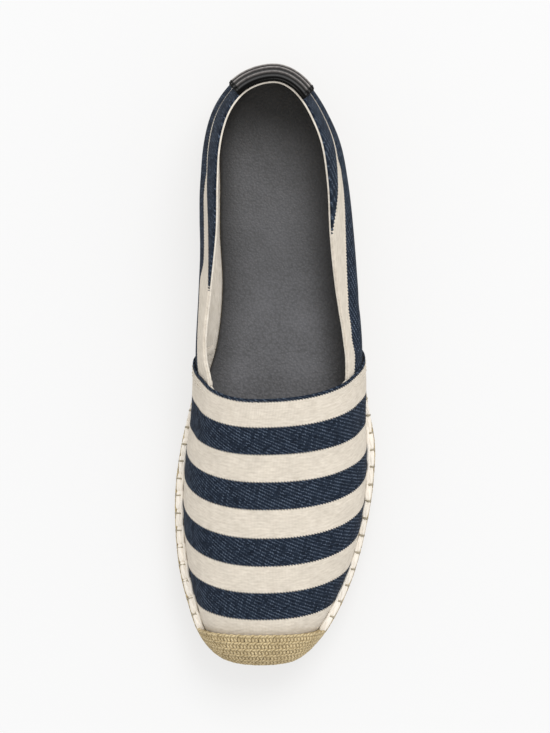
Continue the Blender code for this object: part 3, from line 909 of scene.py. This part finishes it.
def add_strand(add, curve, radius, sides):
    """Turns lines into round closed strands that know how far along and around they are."""
    length = add("GeometryNodeSplineParameter").outputs["Length"]
    along = add("ShaderNodeMath", {0: length, 1: 1 / MM}, operation="MULTIPLY")
    curve = add("GeometryNodeStoreNamedAttribute", {0: curve, "Name": "along", "Value": along})
    thick = add("GeometryNodeInputNamedAttribute", {0: "thick"})
    scale = add("ShaderNodeMath", {0: thick, 1: radius}, operation="MULTIPLY")
    ring = add("GeometryNodeCurvePrimitiveCircle", {"Resolution": sides, "Radius": 1.0})
    around = {0: ring, "Name": "around", 3: add("GeometryNodeInputPosition")}
    ring = add("GeometryNodeStoreNamedAttribute", around, data_type="FLOAT_VECTOR")
    strand = add("GeometryNodeCurveToMesh", {0: curve, 1: ring, "Scale": scale, "Fill Caps": True})
    return add("GeometryNodeSetShadeSmooth", {0: strand})


def plait_tree():
    """Guide lines become plaits: each strand weaves up and down, and in and out."""
    sizes = {"Radius": "Float", "Period": "Float", "Depth": "Float", "Strands": "Int", "Sides": "Int"}
    tree, add, given = new_tree("plait", **sizes)
    steps = 12  # points of a strand in one period
    curve = add("GeometryNodeMeshToCurve", {0: given["Geometry"]})
    length = add("GeometryNodeSplineLength").outputs["Length"]
    periods = add("ShaderNodeMath", {0: length, 1: given["Period"]}, operation="DIVIDE")
    periods = add("ShaderNodeMath", {0: periods}, operation="ROUND")
    count = add("ShaderNodeMath", {0: periods, 1: steps, 2: 1.0}, **TIMES_PLUS)
    curve = add("GeometryNodeResampleCurve", {0: curve, "Count": count})
    copies = add("GeometryNodeDuplicateElements", {0: curve, "Amount": given["Strands"]}, domain="SPLINE")
    index = add("GeometryNodeSplineParameter").outputs["Index"]
    turn = add("ShaderNodeMath", {0: index, 1: 2 * math.pi / steps}, operation="MULTIPLY")
    number = copies.outputs["Duplicate Index"]
    share = add("ShaderNodeMath", {0: number, 1: given["Strands"]}, operation="DIVIDE")
    phase = add("ShaderNodeMath", {0: share, 1: 2 * math.pi, 2: turn}, **TIMES_PLUS)
    swing = add("GeometryNodeInputNamedAttribute", {0: "swing"})
    up = add("ShaderNodeMath", {0: phase}, operation="SINE")
    up = add("ShaderNodeMath", {0: up, 1: swing}, operation="MULTIPLY")
    up = add("ShaderNodeCombineXYZ", {2: up})
    twice = add("ShaderNodeMath", {0: phase, 1: 2.0}, operation="MULTIPLY")
    out = add("ShaderNodeMath", {0: twice}, operation="SINE")
    out = add("ShaderNodeMath", {0: out, 1: given["Depth"]}, operation="MULTIPLY")
    tangent = add("GeometryNodeInputTangent")
    outward = add("ShaderNodeVectorMath", {0: tangent, 1: UP}, operation="CROSS_PRODUCT")
    outward = add("ShaderNodeVectorMath", {0: outward, "Scale": out}, operation="SCALE")
    offset = add("ShaderNodeVectorMath", {0: up, 1: outward}, operation="ADD")
    curve = add("GeometryNodeSetPosition", {0: copies, "Offset": offset})
    end_tree(add, add_strand(add, curve, given["Radius"], given["Sides"]), given["Material"])
    return tree


def repeat_tree():
    """One stitch, given as lines, is made of strand and set on each place."""
    sizes = {"Stitch": "Object", "Radius": "Float", "Sides": "Int", "Sway": "Float", "Seed": "Int"}
    tree, add, given = new_tree("repeated_stitch", **sizes)
    line = add("GeometryNodeObjectInfo", {0: given["Stitch"]}).outputs["Geometry"]
    line = add("GeometryNodeMeshToCurve", {0: line})
    strand = add_strand(add, line, given["Radius"], given["Sides"])
    ahead, out, size = (
        add("GeometryNodeInputNamedAttribute", {0: label}, data_type="FLOAT_VECTOR")
        for label in ("ahead", "out", "size")
    )
    sway = add("FunctionNodeRandomValue", {"Seed": given["Seed"], 2: -1.0, 3: 1.0})
    sway = add("ShaderNodeMath", {0: sway.outputs[1], 1: given["Sway"]}, operation="MULTIPLY")
    aside = add("ShaderNodeVectorMath", {0: out, 1: ahead}, operation="CROSS_PRODUCT")
    aside = add("ShaderNodeVectorMath", {0: aside, "Scale": sway}, operation="SCALE")
    ahead = add("ShaderNodeVectorMath", {0: ahead, 1: aside}, operation="ADD")
    turned = add("FunctionNodeAxesToRotation", {0: out, 1: ahead}, primary_axis="Z", secondary_axis="X")
    tone = add("FunctionNodeRandomValue", {"Seed": given["Seed"], 2: -0.12, 3: 0.12}).outputs[1]
    places = add("GeometryNodeStoreNamedAttribute", {0: given["Geometry"], "Name": "tone", "Value": tone})
    stitches = {0: places, "Instance": strand, "Rotation": turned, "Scale": size}
    stitches = add("GeometryNodeInstanceOnPoints", stitches)
    end_tree(add, stitches, given["Material"])
    return tree


def lines_object(name, lines, **per_point):
    """An object of open lines, or of lone points where every line has one point."""
    edges, first = [], 0
    for line in lines:
        edges += [(first + i, first + i + 1) for i in range(len(line) - 1)]
        first += len(line)
    mesh = bpy.data.meshes.new(name)
    mesh.from_pydata(np.concatenate(lines).tolist(), edges, [])
    for label, values in per_point.items():
        values = np.asarray(values, np.float32)
        kind, field = ("FLOAT_VECTOR", "vector") if values.ndim == 2 else ("FLOAT", "value")
        mesh.attributes.new(label, kind, "POINT").data.foreach_set(field, values.ravel())
    made = bpy.data.objects.new(name, mesh)
    bpy.context.collection.objects.link(made)
    return made


def grow(carrier, tree, **sizes):
    """Runs a geometry tree on an object and keeps the result as its plain mesh."""
    modifier = carrier.modifiers.new(tree.name, "NODES")
    modifier.node_group = tree
    for item in tree.interface.items_tree:
        if item.in_out == "INPUT" and item.name in sizes:
            modifier[item.identifier] = sizes[item.name]
    graph = bpy.context.evaluated_depsgraph_get()
    evaluated = carrier.evaluated_get(graph)
    grown = bpy.data.meshes.new_from_object(evaluated, preserve_all_data_layers=True, depsgraph=graph)
    carrier.modifiers.clear()
    carrier.data = grown
    grown.name = carrier.name
    return carrier


def repeat(name, stitch, places, tree, **sizes):
    """Sets a stitch, given as lines in mm with a thickness at each point, on places given
    as (points, ahead, out, size)."""
    lines, thick = stitch
    lines = [np.array(line) * MM for line in lines]
    unit_stitch = lines_object(name + "_unit", lines, thick=np.concatenate(thick))
    points, ahead, out, size = places
    lone_points = [point[None] for point in place(points)]
    carrier = lines_object(name, lone_points, ahead=ahead, out=out, size=size)
    grow(carrier, tree, Stitch=unit_stitch, **sizes)
    bpy.data.objects.remove(unit_stitch)
    return carrier


def read_along(values, length, at):
    """What a line's points hold, read at lengths along it."""
    return np.stack([np.interp(at, length, column) for column in values.T], -1)


def evenly(points, outs, spacing):
    """Places at even spacing along an open line: points, directions ahead and out."""
    length = arc_length(points, 0)
    count = max(round(length[-1] / spacing), 1)
    at = (np.arange(count) + 0.5) * length[-1] / count
    ahead = read_along(points, length, at + 0.5) - read_along(points, length, at - 0.5)
    return read_along(points, length, at), unit(ahead), unit(read_along(outs, length, at))


# The sole and the insole


def between(medial, lateral, across):
    """A grid from a line on the inner side to one on the outer side, at shares across."""
    across = across[None, :, None]
    return medial[:, None] * (1 - across) + lateral[:, None] * across


def make_outsole(material):
    """Rubber sheet with a moulded tread of wavy ribs under forefoot and heel."""
    p = np.linspace(0.0, math.pi, 361)
    across = np.linspace(0.0, 1.0, 57)
    inset = RUBBER_EDGE[0][0]
    medial, lateral = both_sides(p, inset, floor_side)
    bottom = between(medial, lateral, across)
    x, t = bottom[..., 0], bottom[..., 1]
    inside = np.minimum(across, 1 - across) * np.linalg.norm(lateral - medial, axis=-1)[:, None]
    inside = np.minimum(inside, np.minimum(t, SOLE_LENGTH - t) - inset)
    ahead, behind = TREAD_WAIST
    waist = smoothstep((t - ahead) / 14.0) * (1 - smoothstep((t - behind) / 12.0))
    wave = t + TREAD_SWING * np.cos(x * 2 * math.pi / TREAD_WAVE)
    groove, flank = 0.16, 0.1  # half a groove's width and its flank, as shares of the pitch
    rib = smoothstep((np.abs((wave / TREAD_PITCH) % 1.0 - 0.5) - groove) / flank)
    depth = TREAD_DEPTH * (1 - rib) * smoothstep(inside - TREAD_MARGIN) * (1 - waist)
    bottom[..., 2] = floor_side(t) + depth
    rings = [sole_ring(p, inset, lambda t: floor_side(t) + above) for inset, above in RUBBER_EDGE]
    return from_grids("outsole_rubber", material, bottom, np.array(rings), lid(rings[-1]))


def make_rope_core(material):
    """What lies behind the braids: the coil of rope, as one slab."""
    p = np.linspace(0.0, math.pi, 121)
    heights = (partial(rope_height, share=0.0), lambda t: sole_top(t) - ROPE_CORE_DROP)
    rings = [sole_ring(p, ROPE_CORE_INSET, height) for height in heights]
    return from_grids("rope_core", material, np.array(rings), *map(lid, rings))


def make_braids(material, tree):
    """Three plaits of jute, one above the other round the sole."""
    guides, swings = [], []
    for row in range(BRAIDS):
        height = partial(rope_height, share=(row + 0.5) / BRAIDS)
        guide = around_sole(sole_line(STRAND_RADIUS + BRAID_DEPTH, height))
        t = guide[:, 1]
        swings.append((sole_top(t) - rope_height(t, 0.0)) / BRAIDS / 2 - STRAND_RADIUS)
        guides.append(place(guide))
    swings = np.concatenate(swings) * MM
    carrier = lines_object("rope_braids", guides, swing=swings, thick=np.ones_like(swings))
    sizes = {"Radius": STRAND_RADIUS * MM, "Period": BRAID_PERIOD * MM, "Depth": BRAID_DEPTH * MM}
    return grow(carrier, tree, Strands=PLAIT_STRANDS, Sides=8, Material=material, **sizes)


def make_insole(material):
    """Leather sock on the rope sole, with a turned-down edge."""
    p = np.linspace(0.0, math.pi, 161)
    sides = []
    for sign in SIDES.values():
        a = np.full_like(p, sign * HALF_TURN)
        flat = skin(p, a)[:, :2] - foot_outward(p, a) * (WALL + INSOLE_PLAY)
        sides.append(np.concatenate([flat, upper_foot(flat[:, 1:])], -1))
    medial, lateral = sides
    width = np.linalg.norm(lateral - medial, axis=-1)[:, None]
    # Columns close up towards both edges, which turn down within 2% of the width
    turn = 0.02 * (1 - np.cos(np.linspace(0.0, HALF_TURN, 5)))
    across = np.concatenate([turn, np.linspace(0.03, 0.97, 45), 1 - turn[::-1]])
    top = between(medial, lateral, across)
    under = top.copy()
    t = top[..., 1]
    from_side = np.minimum(across, 1 - across) * width
    inner = np.minimum(from_side, np.minimum(t - t.min(), t.max() - t))
    edge = rounded(inner, INSOLE_ROUNDING) / INSOLE_ROUNDING
    cup = HEEL_CUP * smoothstep((t - HEEL_RISE_TO) / 25.0) * smoothstep(inner / 14.0)
    top[..., 2] += INSOLE_THICKNESS * (0.25 + 0.75 * edge) - cup
    # Across the sock: up to 50 it is the distance from the inner rim, and above 50 it is
    # 100 less the distance from the outer rim
    rim = np.minimum(from_side, 45.0)
    cloth = np.stack([np.where(across < 0.5, rim, 100 - rim), t], -1)
    return from_shells("insole_sock", material, (top, under, cloth))


# The upper


def vamp_sheets():
    """Canvas of the vamp, and its lining."""
    corner = {side: throat_corner(side) for side in SIDES}
    across = np.linspace(-HALF_TURN, HALF_TURN, 171)[None]

    def sheet(end, face, thickness):
        last = end - 1.2
        ridge = station(np.linspace(0.0, angle_at(last), 130))
        ridge = np.concatenate([ridge, towards_fold(last, end, 3, thickness / 2)[1:]])
        p, a = np.broadcast_arrays(bowed(ridge[:, None], across), across)
        turn = folded(end - ridge, thickness)[:, None]
        u = arc_length(skin(p, a), 1)
        u = u - u[:, [across.size // 2]]
        v = np.interp(ridge, *np.array(VAMP_STRIPES).T)[:, None] + 0 * u
        outer = face(p, a)
        return on_last(p, a, outer - turn, outer - thickness + turn, np.stack([u, v], -1))

    def outside(p, a):
        return lap(p, a) + crease(p, a)

    def inside(p, a):
        # In the throat the lining follows the vamp. Past its corners it is under the quarter
        limit = np.where(a < 0, corner["medial"], corner["lateral"])
        free = smoothstep((limit - np.abs(a)) / 0.2)
        return lap(p, a) * free - CANVAS - 0.05 + crease(p, a)

    return sheet(THROAT, outside, CANVAS), sheet(THROAT - 0.7, inside, LINING)


def quarter_sheet(side, under, thickness, above, ahead):
    """Canvas or lining of one side of the quarter, from the vamp to the back seam. Its
    outer face lies under the last's by a depth, and its top above the collar."""
    sign = SIDES[side]
    a = sign * np.linspace(HALF_TURN, 0.35, 500)
    p = bowed(THROAT - ahead, a)
    reached = wall_height(p, a) / (UPPER[side + " collar"](p) + above)
    tall = 38.0  # its usual height, which turns a share of the height to mm
    share = towards_fold(0.0, tall, 46, thickness / 2)[:, None] / tall
    front = np.interp(share, reached, p)
    back = towards_fold(0.0, 1.0, 120, 0.012)[None]
    p = front + (math.pi - front) * back
    height = share * (UPPER[side + " collar"](p) + above)
    a = angle_over(side, p, height)
    a[0] = sign * HALF_TURN
    u = arc_length(skin(p, a), 1)
    u = u[:, [-1]] - u
    v = np.interp(height, *np.array(QUARTER_STRIPES).T)
    top = folded((1 - share) * tall, thickness)
    seam = folded(u, thickness)
    outer = crease(p, a) - under
    # Canvas and lining are sewn together, so each is round on its free face only
    outer_turn, inner_turn = (np.maximum(top, seam), 0.0) if under == 0 else (0.0, top)
    flat = np.stack([u * sign, v], -1)
    return on_last(p, a, outer - outer_turn, outer - thickness + inner_turn, flat)


def seam_tape(side):
    """Tape inside, over the joint of the linings, from the collar down to the insole."""
    a = SIDES[side] * np.linspace(throat_corner(side) + 0.01, math.radians(89.3), 44)[:, None]
    width = np.linspace(-1.0, 1.0, 9)[None]
    ridge = THROAT - LINING_JOINT + TAPE_WIDTH / 2 * width
    p, a = np.broadcast_arrays(bowed(ridge, a), a)
    face = crease(p, a) - CANVAS - LINING - 0.1
    bulge = 0.4 * np.cos(width * 1.2)
    flat = np.stack([ridge + 0 * p, 10.0 * a], -1)
    return on_last(p, a, face + 0.1, face - bulge, flat)


def make_upper(canvas, lining):
    """The vamp and the quarter of canvas, and the lining of both with its tapes."""
    vamp, vamp_lining = vamp_sheets()
    quarters = [quarter_sheet(side, 0.0, CANVAS, 0.0, SEAM_ALLOWANCE) for side in SIDES]
    linings = [quarter_sheet(side, CANVAS + 0.02, LINING, 0.2, LINING_JOINT) for side in SIDES]
    tapes = [seam_tape(side) for side in SIDES]
    return (
        from_shells("vamp", canvas, vamp),
        from_shells("quarter", canvas, *quarters),
        from_shells("lining", lining, vamp_lining, *linings, *tapes),
    )


def stitch_rows(name, rows, spacing, tree, material, seed):
    """Short top-stitches along lines that are given with the directions out of them."""
    turn = np.linspace(0.0, 1.0, 5)
    arch = np.sin(math.pi * turn)
    length = 0.82 * spacing  # the rest is the gap to the next stitch
    stitch = np.stack([(turn - 0.5) * length, 0 * turn, SEAM_ARCH * arch - SEAM_SUNK], -1)
    rows = [evenly(*row, spacing) for row in rows]
    places = [np.concatenate(parts) for parts in zip(*rows)]
    places.append(np.ones_like(places[0]))
    sizes = {"Radius": SEAM_RADIUS * MM, "Sides": 6, "Sway": 0.08, "Seed": seed}
    return repeat(name, ([stitch], [0.8 + 0.2 * arch]), places, tree, Material=material, **sizes)


def lap_stitches(material, tree):
    """Two rows of stitches that hold the vamp's back edge down on the quarter."""
    rows = []
    for side, sign in SIDES.items():
        a = sign * np.linspace(throat_corner(side) + 0.05, math.radians(86.0), 60)
        for inset in LAP_SEAMS:
            p = bowed(THROAT - inset, a)
            out = lap(p, a) + crease(p, a)
            rows.append((offset_skin(p, a, out), skin_normal(p, a)))
    return stitch_rows("lap_stitches", rows, LAP_STITCH, tree, material, 11)


# The toe cap


def cap_point(c, r):
    """Where the toe cap lies, as (p, a): c runs across from -1 to 1, r from sole to edge."""
    a = c * HALF_TURN
    top = angle_at(CAP_DEPTH + CAP_BOW * c**2)
    end = angle_at(CAP_DEPTH + CAP_BOW)
    x = c * end * (1 - r) + top * np.sin(a) * r
    z = top * np.cos(a) * r
    return np.hypot(x, z), np.arctan2(x, np.maximum(z, 1e-9))


def make_cap_backing(material):
    """Jute cloth under the crochet."""
    c, r = np.meshgrid(np.linspace(-1.0, 1.0, 81), np.linspace(0.0, 1.0, 25))
    p, a = cap_point(c, r)
    a = np.where(r < 1e-6, np.where(c < 0, -HALF_TURN, HALF_TURN), a)
    faces = (offset_skin(p, a, CLEARANCE + CAP_BACKING), offset_skin(p, a, CLEARANCE))
    return from_shells("toe_cap_backing", material, faces)


def cap_rows():
    """Places of the crochet stitches: rows from the upper edge down to the sole."""
    c = np.linspace(-0.995, 0.995, 321)[None]
    r = np.linspace(1.0, 0.0, 81)[:, None]
    p, a = cap_point(c, r)
    half = 0.75  # from the middle of a stitch to the cap's face, and up to its edge
    out = CLEARANCE + CAP_THICKNESS - half
    down = arc_length(offset_skin(p, a, out), 0)
    found = []
    row = 0
    while True:
        # A row runs where the cap still reaches far enough below it
        below = half + row * CROCHET_ROW
        here = down[-1] > below + 0.9
        if here.sum() < 8:
            break
        at = np.array([np.interp(below, down[:, i], r[:, 0]) for i in np.flatnonzero(here)])
        row_p, row_a = cap_point(c[0, here], at)
        line = offset_skin(row_p, row_a, out)
        length = arc_length(line, 0)
        count = int(length[-1] // CROCHET_STITCH)
        places = (np.arange(count) + 0.5 + 0.5 * (row % 2)) * CROCHET_STITCH
        places = places[places < length[-1] - 0.3]
        p, a = (np.interp(places, length, values) for values in (row_p, row_a))
        ahead = read_along(line, length, places + 0.6) - read_along(line, length, places - 0.6)
        found.append((offset_skin(p, a, out), unit(ahead), skin_normal(p, a)))
        row += 1
    points, ahead, outs = (np.concatenate(parts) for parts in zip(*found))
    return points, ahead, outs, np.ones_like(points)


def crochet_stitch():
    """Two legs down from a bar, in mm: x ahead along the row, y up to the edge, z out."""
    turn = np.linspace(0.0, 1.0, 6)
    arch = np.sin(math.pi * turn)
    lean = 0.3 * (1 - 2 * turn)
    lines = [np.stack([x + lean, 1.15 - 2.9 * turn, 0.45 * arch - 0.15], -1) for x in (-0.72, 0.72)]
    wave = 1.3 + 0.22 * np.sin(2 * math.pi * turn)
    lines.append(np.stack([(turn - 0.5) * 3.5, wave, 0.35 + 0.1 * arch], -1))
    return lines, [0.68 + 0.3 * arch] * 2 + [0.66 + 0.12 * arch]


# The heel patch


def make_heel_patch(material, thread, tree):
    """Leather tab over the back seam, with three welts, turned over the collar's edge."""
    half = PATCH_THICKNESS / 2
    rounding = half * (1 - np.cos(np.linspace(0.0, HALF_TURN, 5)))
    up = np.concatenate([rounding, np.linspace(half, PATCH_RISE, 78)[1:]])
    turn = np.linspace(0.0, PATCH_FOLD, 10)[1:]
    up, turn = (
        np.concatenate([up, np.full_like(turn, PATCH_RISE)])[:, None],
        np.concatenate([np.zeros_like(up), turn])[:, None],
    )
    across = np.concatenate([rounding[:-1], np.linspace(half, PATCH_HALF, 37)]) / PATCH_HALF - 1
    across = np.concatenate([across, -across[-2::-1]])[None]
    reach = np.where(across < 0, PATCH_REACH["medial"], PATCH_REACH["lateral"])
    p = math.pi - reach * np.abs(across) + 0 * up
    top = by_side(across, " collar", p) - FOLD_DROP
    low = top - PATCH_RISE + PATCH_CORNER * np.abs(across) ** 6
    share = up / PATCH_RISE
    to_end = np.where(turn > 0, (PATCH_FOLD - turn) * PATCH_FOLD_RADIUS, np.inf)
    to_side = (1 - np.abs(across)) * PATCH_HALF
    body = rounded(np.minimum(np.minimum(up, to_end), to_side), half)
    welt = np.sin(math.pi * WELTS * (share + WELT_SHIFT)) ** 6 * (turn == 0) * (share < 0.98)
    welt = WELT_HEIGHT * welt * smoothstep(to_side / 0.8)
    faces = []
    for face in (body + welt, -body):
        height = low + (top - low) * share + (PATCH_FOLD_RADIUS + face) * np.sin(turn)
        out = CLEARANCE + half - PATCH_FOLD_RADIUS + (PATCH_FOLD_RADIUS + face) * np.cos(turn)
        a = [angle_over(side, p, height) for side in SIDES]
        faces.append((p, np.where(across < 0, *a), out))
    cloth = np.stack([PATCH_HALF * across + 0 * up, up + turn + 0 * across], -1)
    shell = (*(offset_skin(*face) for face in faces), cloth)
    patch = from_shells("heel_patch_leather", material, shell)

    # Stitches run up both sides and along the foot, and stop where the patch folds
    p, a, out = (part[2:-9] for part in faces[0])
    seams = [(slice(None), 6), (slice(None), -7), (7, slice(6, -6))]
    rows = [(offset_skin(p[at], a[at], out[at]), skin_normal(p[at], a[at])) for at in seams]
    return patch, stitch_rows("heel_patch_stitches", rows, PATCH_STITCH, tree, thread, 13)


# The edge stitch


def make_edge_stitch(cord_material, thread, tree):
    """Thick cotton sewn round the joint of canvas and rope: a hem cord along the canvas,
    a run of plump laid cords outside it, and at each joint of these a leg that goes over
    both and down the side of the sole."""
    rim = around_sole(sole_line(0.0, sole_top))[:, None, :2]
    end = angle_at(CAP_DEPTH + CAP_BOW)
    parts = {"cords": [], "hem": [], "legs": []}
    for sign, span in ((-1.0, (math.pi, end)), (1.0, (end, math.pi))):
        p = np.linspace(*span, 400)
        edge = np.full_like(p, sign * HALF_TURN)
        foot = skin(p, edge)[:, :2]
        outward = foot_outward(p, edge)
        ledge = np.linalg.norm(foot - rim, axis=-1).min(0)
        broad = np.clip(ledge / LEDGE, 0.55, 1.25)
        one = np.ones_like(p)

        def line(distance, above):
            flat = foot + outward * distance[:, None]
            return np.concatenate([flat, sole_top(flat[:, 1:]) + above[:, None]], -1)

        # How far out each lies from the canvas and how high, then its size along, across
        # and up. What is given in mm is for a rim of the usual width
        lines = {
            "cords": (line(ledge - 1.65 * broad, 0.95 * broad), (one, broad, 0.9 * broad)),
            "hem": (line(0.62 * broad, 1.7 * broad), (one, broad, broad)),
            "legs": (line(ledge, 0 * p), (one, ledge / LEDGE, one)),
        }
        for name, (points, size) in lines.items():
            places, ahead, out = evenly(points, np.tile(UP, (len(p), 1)), STITCH_LENGTH)
            at = np.interp(sign * places[:, 1], sign * points[:, 1], np.arange(len(p)))
            size = read_along(np.stack(size, -1), np.arange(len(p)), at)
            found = [places, ahead, out, size]
            if name == "legs":
                found = [(values[1:] + values[:-1]) / 2 for values in found]
            parts[name].append(found)
    turn = (1 - np.cos(np.linspace(0.0, math.pi, 12))) / 2
    swell = np.sin(math.pi * turn) ** 0.4
    cord = np.stack([(turn - 0.5) * STITCH_LENGTH * 0.99, 0 * turn, 0.1 * swell], -1)
    sway = 0.12 * np.sin(2 * math.pi * turn)
    hem = np.stack([(turn - 0.5) * STITCH_LENGTH * 1.05, sway, 0.1 * swell], -1)
    kinds = {
        "cords": (cord, 0.62 + 0.38 * swell, STITCH_RADIUS, 12, 0.03, cord_material),
        "hem": (hem, 0.9 + 0.1 * swell, HEM_RADIUS, 8, 0.03, cord_material),
        "legs": (LEG, np.ones(len(LEG)), LEG_RADIUS, 8, 0.1, thread),
    }
    made = []
    for name, (line, thick, radius, sides, sway, material) in kinds.items():
        places = [np.concatenate(values) for values in zip(*parts[name])]
        sizes = {"Radius": radius * MM, "Sides": sides, "Sway": sway, "Seed": 3}
        name = "edge_stitch_" + name
        made.append(repeat(name, ([line], [thick]), places, tree, Material=material, **sizes))
    return made


# The studio


def make_studio():
    """White paper, lit softly from above, and a camera that looks straight down."""
    # The paper glows a little, so that shadows on it stay faint
    paper, _, shader = new_material("studio_paper", 0.95, Specular_IOR_Level=0.0)
    shader.inputs["Base Color"].default_value = (0.22, 0.22, 0.22, 1.0)
    shader.inputs["Emission Color"].default_value = (1.0, 1.0, 1.0, 1.0)
    shader.inputs["Emission Strength"].default_value = 0.678
    bpy.ops.mesh.primitive_plane_add(size=6.0, location=(0.0, 0.0, -0.0002))
    floor = bpy.context.object
    floor.name = "studio_floor"
    floor.data.materials.append(paper)
    world = bpy.data.worlds.new("studio")
    world.use_nodes = True
    background = world.node_tree.nodes["Background"]
    background.inputs["Color"].default_value = (1.0, 1.0, 1.0, 1.0)
    background.inputs["Strength"].default_value = 0.88
    low, high = cad_box
    middle = (low + high) / 2
    key = bpy.data.lights.new("soft_box", "AREA")
    key.size = 1.1
    key.energy = 26.0
    lamp = bpy.data.objects.new("soft_box", key)
    lamp.location = (0.4, 1.0, 2.0)
    lamp.rotation_euler = (middle - lamp.location).to_track_quat("-Z", "Y").to_euler()
    bpy.context.collection.objects.link(lamp)
    camera = bpy.data.cameras.new("above")
    distance = 3.0
    seen = (high.y - low.y) / 0.83  # the shoe fills this share of the view's height
    camera.sensor_width = 36.0
    camera.lens = camera.sensor_width * distance / seen
    eye = bpy.data.objects.new("above", camera)
    eye.location = (middle.x, middle.y, high.z + distance)
    bpy.context.collection.objects.link(eye)
    scene = bpy.context.scene
    scene.world = world
    scene.camera = eye
    scene.view_settings.view_transform = "Standard"


def main():
    canvas = striped_canvas("striped_cotton_canvas", "#CFC5B6", "#E3DACC")
    # Unbleached, plain woven and not dyed: a more even cream than the canvas, painted paler
    # than it to make up for the shade inside the shoe
    lining = striped_canvas("natural_cotton_lining", "#DAD1C3", "#EDE5D9", striped=False)
    # Jute, spun in two plies and plaited: dull straw, with painted brown shade in the grooves between plies
    jute = twisted_yarn("plaited_jute", "#CDB98C", "#7B6642", 2, 7.0)
    # Finer jute, two plies, twisted harder and crocheted: paler, with small close turns
    crochet_jute = twisted_yarn("crocheted_jute", "#D9C59A", "#8A764E", 2, 3.5)
    # Cotton roving, hardly twisted: near white and plump, with shallow long grooves
    roving = twisted_yarn("soft_cotton_cord", "#FFFAF2", "#E4DBCD", 5, 30.0, fibre=0.35, groove=0.3)
    # Sewing threads, two plies twisted hard. The first, cream cotton, is painted grey-brown
    # for the shade at the joints of the cords it crosses. The second is mercerised, so pale
    # and even. The third is dyed filament, so an even black
    cotton = twisted_yarn("waxed_cotton_thread", "#B9AE98", "#837965", *THREAD_TWIST, fibre=0.2)
    pale = twisted_yarn("mercerised_cotton_thread", "#E9E1D3", "#CDC2B0", *THREAD_TWIST, fibre=0.2)
    black = twisted_yarn("black_polyester_thread", "#101011", "#050506", *THREAD_TWIST, fibre=0.1, sheen=0.0)
    # Black leather, coloured a lighter grey than black to stand in for its sheen, with painted
    # shade at the rims and heel and painted light at the ball: a soft sheen over an open grain
    sock = leather("dyed_sock_leather", "#646468", "#424244", 0.44, 0.9, 0.2, sock_painted_shade_and_light)
    # Leather dyed black, finished and polished: narrow lights, with painted highlights on the crests of its
    # welts, and almost no grain
    polished = leather(
        "polished_black_leather", "#161514", "#0A0909", 0.16, 1.1, 0.03, welt_painted_highlights, Specular_IOR_Level=0.06
    )
    rubber = gum_rubber("vulcanised_rubber")
    plait, stitch = plait_tree(), repeat_tree()

    dress(make_outsole(rubber), "rubber", "outsole")
    dress(make_rope_core(jute), "jute", "midsole")
    dress(make_braids(jute, plait), "jute", "midsole")
    dress(make_insole(sock), "insole_leather", "insole")
    for piece in make_upper(canvas, lining):
        dress(piece, "canvas", "upper")
    dress(make_cap_backing(crochet_jute), "crochet", "toe_cap")
    sizes = {"Radius": CROCHET_YARN * MM, "Sides": 7, "Sway": 0.08, "Seed": 7, "Material": crochet_jute}
    crochet = repeat("toe_cap_crochet", crochet_stitch(), cap_rows(), stitch, **sizes)
    dress(crochet, "crochet", "toe_cap")
    patch, patch_stitches = make_heel_patch(polished, black, stitch)
    dress(patch, "patch_leather", "heel_patch")
    dress(patch_stitches, "patch_leather")
    dress(lap_stitches(pale, stitch), "canvas")
    for piece in make_edge_stitch(roving, cotton, stitch):
        dress(piece, "canvas")


main()
make_studio()
